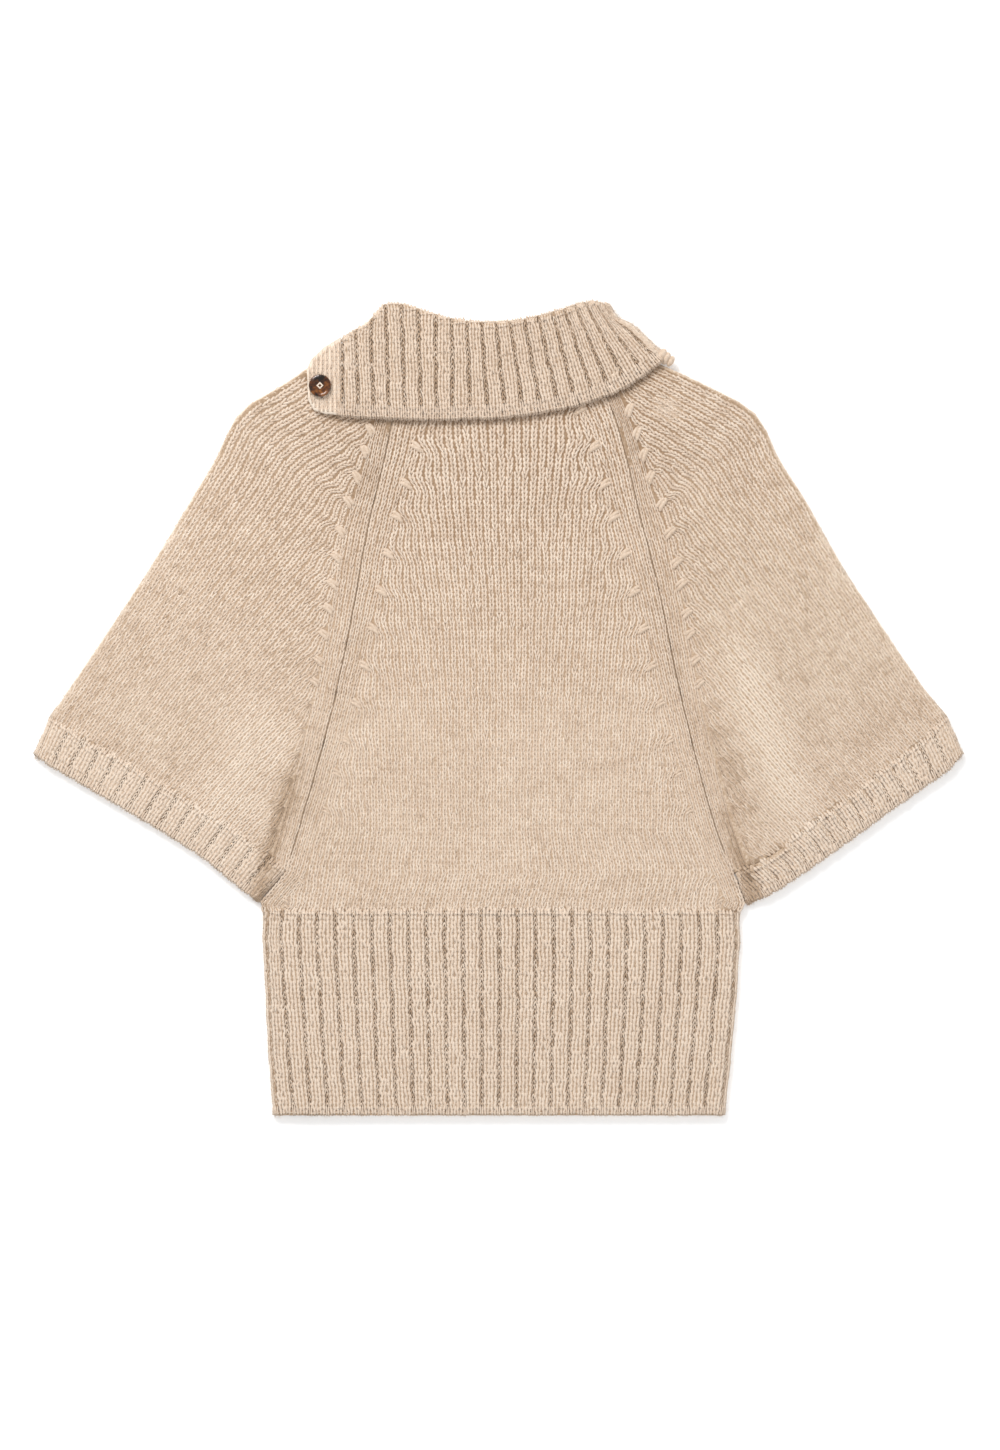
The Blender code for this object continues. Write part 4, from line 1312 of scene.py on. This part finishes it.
# %% Knots of yarn
Grain = namedtuple("Grain", "length width height shift lean")
GRAINS = [  # millimetres, up the wales, and degrees
    Grain(11, 3.6, 2.6, 1.0, 0),
    Grain(9.5, 3.2, 2.2, 3.6, 9),
]
GRAIN_BEND = 0.22  # how far its ends hang down, in widths
BODY_LEAN, SLEEVE_LEAN = 31, -12  # degrees that a knot rises towards the seam
KNOT_IN = 2.6 * MM  # how far a knot stands inside the band's border
SLEEVE_MARKS_END = 4 * MM  # below this the sleeves' knots are lost in the felted wool
MARK_SIZES = ((-0.12, 0.08), (0.5, 1.0))  # at two heights, in metres, and smaller further down
# MARK_TONE is darker than the loops as painted shade, since the smooth knots lack the loops' self-shadow.
MARK_TONE = 0.34


def add_grain(form, matrix):
    """A blunt grain, bent in its own plane."""
    for vert in bmesh.ops.create_uvsphere(form, u_segments=8, v_segments=7, radius=0.5)["verts"]:
        x, y, z = vert.co
        blunt = math.sqrt(1 + (2 * z) * (2 * z))
        vert.co = matrix @ Vector((z, x * blunt - GRAIN_BEND * (2 * z) * (2 * z), y * blunt))


def fill_marks():
    form, built = bmesh.new(), set()
    for k, (spot, up, to_seam, node) in enumerate(mark_spots):
        in_front = node == "front_panel"
        if not in_front and spot[1] < SLEEVE_MARKS_END:
            continue
        size = float(np.interp(spot[1], *MARK_SIZES))
        for grain in GRAINS:
            lean = math.radians((BODY_LEAN if in_front else SLEEVE_LEAN) + grain.lean)
            along = to_seam * math.cos(lean) + up * math.sin(lean)
            along = Vector((*(along / np.hypot(*along)), 0))
            place = spot - to_seam * KNOT_IN + up * grain.shift * MM
            top = trees[node].ray_cast(Vector((*place, FAR_OFF)), -UP)[0]
            if top is None or is_covered(top):
                continue
            square = UP.cross(along)
            square *= math.copysign(1, square.x * up[0] + square.y * up[1])
            axes = (along * grain.length, square * grain.width, UP * grain.height)
            rows = [(*(axis[row] * size * MM for axis in axes), top[row]) for row in range(3)]
            matrix = Matrix([*rows, (0, 0, 0, 1)])
            matrix[2][3] += 0.5 * size * MM
            add_grain(form, matrix)
            built.add(k)
    bmesh.ops.recalc_face_normals(form, faces=form.faces)
    mesh = mesh_of(form, "fashioning_marks")
    print(len(built), "marks at", len(mark_spots), "places where wales end,", len(mesh.polygons), "faces")
    # The knots carry the creases' painted light and shade too.
    return woollen(mesh, MARK_TONE + painted_crease_shade(np.array([v.co for v in mesh.vertices])))


marks = fill_marks()

# %% [markdown]
# ## The button
# It is polished horn: brown glassy layers with amber and nearly black clouds, under a hard shine. The
# solid's own form stays, only turned a little. Pale yarn runs round its four holes.

# %% Tortoiseshell
HORN_DARK = (0.016, 0.008, 0.005, 1)
HORN_BROWN = (0.11, 0.032, 0.007, 1)
HORN_AMBER = (0.36, 0.13, 0.025, 1)


def horn_group():
    group = bpy.data.node_groups.new("clouded_horn", "ShaderNodeTree")
    sockets(group, [("Color", "Color"), ("Roughness", "Float")], "OUTPUT")
    add, link = group.nodes.new, group.links.new
    out, place = add("NodeGroupOutput"), add("ShaderNodeTexCoord")
    clouds, ramp = add("ShaderNodeTexNoise"), add("ShaderNodeValToRGB")
    set_inputs(clouds, {"Scale": 150.0, "Detail": 2.0, "Distortion": 0.8})
    dark, amber = ramp.color_ramp.elements
    dark.position, dark.color = 0.40, HORN_DARK
    amber.position, amber.color = 0.72, HORN_AMBER
    ramp.color_ramp.elements.new(0.54).color = HORN_BROWN
    gloss = add("ShaderNodeMapRange")
    set_inputs(gloss, {"To Min": 0.16, "To Max": 0.30})
    link(place.outputs["Object"], clouds.inputs["Vector"])
    link(clouds.outputs["Fac"], ramp.inputs["Fac"])
    link(clouds.outputs["Fac"], gloss.inputs["Value"])
    link(ramp.outputs["Color"], out.inputs["Color"])
    link(gloss.outputs["Result"], out.inputs["Roughness"])
    return group


def horn_material():
    material, tree, shader = new_material("polished_horn")
    set_inputs(shader, {"Specular IOR Level": 0.3, "Coat Weight": 0.25, "Coat Roughness": 0.08})
    horn = tree.nodes.new("ShaderNodeGroup")
    horn.node_tree = horn_group()
    tree.links.new(horn.outputs["Color"], shader.inputs["Base Color"])
    tree.links.new(horn.outputs["Roughness"], shader.inputs["Roughness"])
    return material


def turned_button():
    """The solid's own form, turned about its middle so that the ring of yarn stands on its point."""
    low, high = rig.box("button")
    centre = Matrix.Translation((low + high) / 2)
    mesh = nodes["button"].data.copy()
    mesh.name = "turned_button"
    mesh.transform(centre @ Matrix.Rotation(math.pi / 4, 4, "Z") @ centre.inverted())
    mesh.materials.clear()
    mesh.materials.append(horn_material())
    return shown(mesh)


button = turned_button()

# %% Yarn through the button
HOLES, HOLE_RING = 4, 2.0 * MM
YARN_RADIUS = 0.55 * MM
YARN_TONE = 0.9


def sew_button():
    form = bmesh.new()
    form.from_mesh(button.data)
    disc = BVHTree.FromBMesh(form)
    form.free()
    low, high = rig.box("button")
    centre = (low + high) / 2
    top = disc.ray_cast(Vector((centre.x, centre.y, high.z + 5 * MM)), -UP)[0].z
    middle = Matrix.Translation((centre.x, centre.y, top))
    form = bmesh.new()
    for k in range(HOLES):
        spot = middle @ Matrix.Rotation(math.tau * (k + 0.5) / HOLES, 4, "Z")
        spot @= Matrix.Translation((HOLE_RING / 2**0.5, 0, 0)) @ Matrix.Rotation(math.pi / 2, 4, "X")
        bmesh.ops.create_cone(
            form, cap_ends=True, segments=8, radius1=YARN_RADIUS, radius2=YARN_RADIUS,
            depth=HOLE_RING * 2**0.5, matrix=spot,
        )
    for k in range(HOLES):
        turn = math.tau * k / HOLES
        place = Vector((centre.x + HOLE_RING * math.cos(turn), centre.y + HOLE_RING * math.sin(turn), top))
        bmesh.ops.create_uvsphere(
            form, u_segments=8, v_segments=6, radius=YARN_RADIUS * 1.15, matrix=Matrix.Translation(place)
        )
    bmesh.ops.recalc_face_normals(form, faces=form.faces)
    print("yarn over the button at", round(top / MM, 1), "mm")
    return woollen(mesh_of(form, "button_yarn"), YARN_TONE)


button_yarn = sew_button()

# %% [markdown]
# ## Loose fibres
# Soft wool has no clean edge: short fibres stand out of every loop. They are thickest round folds and
# hems, where they show against what lies below, and thin on top. Each is a bent spike of ten triangles.

# %% Fibres that stand out of the loops
FIBRES = [(-0.6, 0.0), (-0.3, 6.0), (0.85, 6.0), (0.97, 0.35)]  # a loop's, by how far it faces up
FIBRE_LENGTH = (1.6 * MM, 4.2 * MM)
FIBRE_RADIUS = 0.085 * MM
FIBRE_SPREAD = 0.9 * MM  # how far its root may be from the middle of the loop
FIBRE_TONE = 0.7
SPIKE = [(0, 2, 1), (0, 1, 4), (0, 4, 3), (1, 2, 5), (1, 5, 4)]
SPIKE += [(2, 0, 3), (2, 3, 5), (3, 4, 6), (4, 5, 6), (5, 3, 6)]


def unit(ways):
    return ways / np.linalg.norm(ways, axis=-1, keepdims=True)


def loose_fibres(name, knits):
    spots = zip(*(loop_spots[knit] for knit in knits))
    centres, normals, heights = (np.concatenate(part) for part in spots)
    centres = centres + normals * heights[:, None] / 2
    many = chance.poisson(np.interp(normals[:, 2], *zip(*FIBRES)))
    centres, normals = np.repeat(centres, many, 0), np.repeat(normals, many, 0)
    count = len(centres)
    roots = centres + chance.normal(0, FIBRE_SPREAD, (count, 3))
    ways = unit(normals * chance.uniform(0.2, 1.1, (count, 1)) + unit(chance.normal(0, 1, (count, 3))))
    bends = unit(chance.normal(0, 1, (count, 3)))
    lengths = chance.uniform(*FIBRE_LENGTH, (count, 1))
    middles = roots + lengths * (0.55 * ways + 0.10 * bends)
    tips = roots + lengths * (0.95 * ways + 0.35 * bends)
    side = unit(np.cross(ways, bends))
    square = np.cross(ways, side)
    around = [side * math.cos(a) + square * math.sin(a) for a in (0, math.tau / 3, 2 * math.tau / 3)]
    rings = [roots + FIBRE_RADIUS * way for way in around]
    rings += [middles + FIBRE_RADIUS * 0.7 * way for way in around]
    print(name, count, "fibres")
    return woollen(copies(name, np.stack([*rings, tips], 1), np.array(SPIKE)), FIBRE_TONE)


fibres = {
    "front_panel": loose_fibres("front_fibres", ["front_knit"]),
    "collar": loose_fibres("collar_fibres", ["collar_knit", "collar_purl"]),
}
for node in ("sleeve_left", "sleeve_right", "waistband", "cuff_left", "cuff_right", "button_band"):
    fibres[node] = loose_fibres(node + "_fibres", [node + "_knit"])

# %% [markdown]
# ## Floor, light and camera

# %% Stage
def stage():
    form = bmesh.new()
    bmesh.ops.create_grid(form, x_segments=1, y_segments=1, size=6.0)
    floor = shown(mesh_of(form, "surface"))
    paint, _, shader = new_material("white_surface")
    set_inputs(shader, {
        "Base Color": (0.93, 0.93, 0.93, 1), "Roughness": 0.9,
        "Emission Color": (1, 1, 1, 1), "Emission Strength": 0.22,
    })
    floor.data.materials.append(paint)
    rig.stage(floor)


def softbox(name, place, size, power):
    light = bpy.data.lights.new(name, "AREA")
    light.shape = "DISK"
    light.size = size
    light.energy = power
    lamp = bpy.data.objects.new(name, light)
    scene.collection.objects.link(lamp)
    lamp.location = place
    lamp.rotation_euler = (-Vector(place)).to_track_quat("-Z", "Y").to_euler()


stage()
softbox("key", (-0.9, 1.9, 1.9), 1.1, 50)
softbox("fill", (0.9, -1.2, 2.6), 2.0, 14)
world = bpy.data.worlds.new("studio")
scene.world = world
world.use_nodes = True
set_inputs(world.node_tree.nodes["Background"], {"Color": (1, 1, 1, 1), "Strength": 0.62})

# %% Camera
PICTURE_HEIGHT = 1.0875  # metres of the surface that the long side takes in
PICTURE_MIDDLE = Vector((1.1 * MM, -12.75 * MM))
camera = bpy.data.cameras.new("camera")
camera.lens, camera.sensor_width = 100, 36
eye = bpy.data.objects.new("camera", camera)
scene.collection.objects.link(eye)
eye.location = (*PICTURE_MIDDLE, 6 * MM + PICTURE_HEIGHT / 2 / (camera.sensor_width / 2 / camera.lens))
scene.camera = eye

# %% The table
for node, cloth in cloths.items():
    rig.ride(cloth, "root")
    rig.replaces(cloth, node)
loops_of = {
    "front_panel": [front_knit, marks],
    "sleeve_left": [sleeve_knits["sleeve_left"]],
    "sleeve_right": [sleeve_knits["sleeve_right"]],
    "waistband": waist_loops,
    **cuff_loops,
    "collar": [*collar_loops, collar_roll],
    "button_band": [*band_loops, button_yarn],
}
for node, piece in fibres.items():
    loops_of[node].append(piece)
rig.ride(button, "root")
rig.replaces(button, "button")
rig.slot(button, "button_horn")
RIBBED_NODES = ("waistband", "cuff_left", "cuff_right", "collar")
for node, pieces in loops_of.items():
    for piece in [cloths[node], *pieces]:
        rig.slot(piece, "wool_rib" if node in RIBBED_NODES else "wool_knit")
    for piece in pieces:
        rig.ride(piece, "root")
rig.slot(cloths["back_panel"], "wool_knit")

# %% [markdown]
# Every cloth is declared with the size it would have, spread flat: the width and length of its cut, and
# the area where that isn't a rectangle.

# %% Flat sizes
Cut = namedtuple("Cut", "width length area rests_on")
CUTS = {  # metres
    "back_panel": Cut(0.363, 0.412, 0.101, []),
    "front_panel": Cut(0.363, 0.403, 0.099, ["back_panel_cloth"]),
    "sleeve_left": Cut(0.47, 0.40, 0.105, ["back_panel_cloth"]),
    "sleeve_right": Cut(0.46, 0.40, 0.100, ["back_panel_cloth"]),
    "waistband": Cut(0.70, 0.152, None, []),
    "cuff_left": Cut(0.42, 0.030, None, []),
    "cuff_right": Cut(0.41, 0.030, None, []),
    "collar": Cut(0.45, 0.125, 0.050, ["front_panel_cloth", "sleeve_left_cloth", "sleeve_right_cloth"]),
    "button_band": Cut(0.027, 0.0585, 0.0014, ["sleeve_left_cloth"]),
}
for node, cut in CUTS.items():
    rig.sheet(
        cloths[node], flat=(cut.width, cut.length), held="laid", rests_on=cut.rests_on, area=cut.area,
        with_pieces=loops_of.get(node, []),
    )
new_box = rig.bounds()
with open("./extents.json", "w") as sizes:
    json.dump({"cad": [list(c) for c in cad_box], "visual": [list(c) for c in new_box]}, sizes)
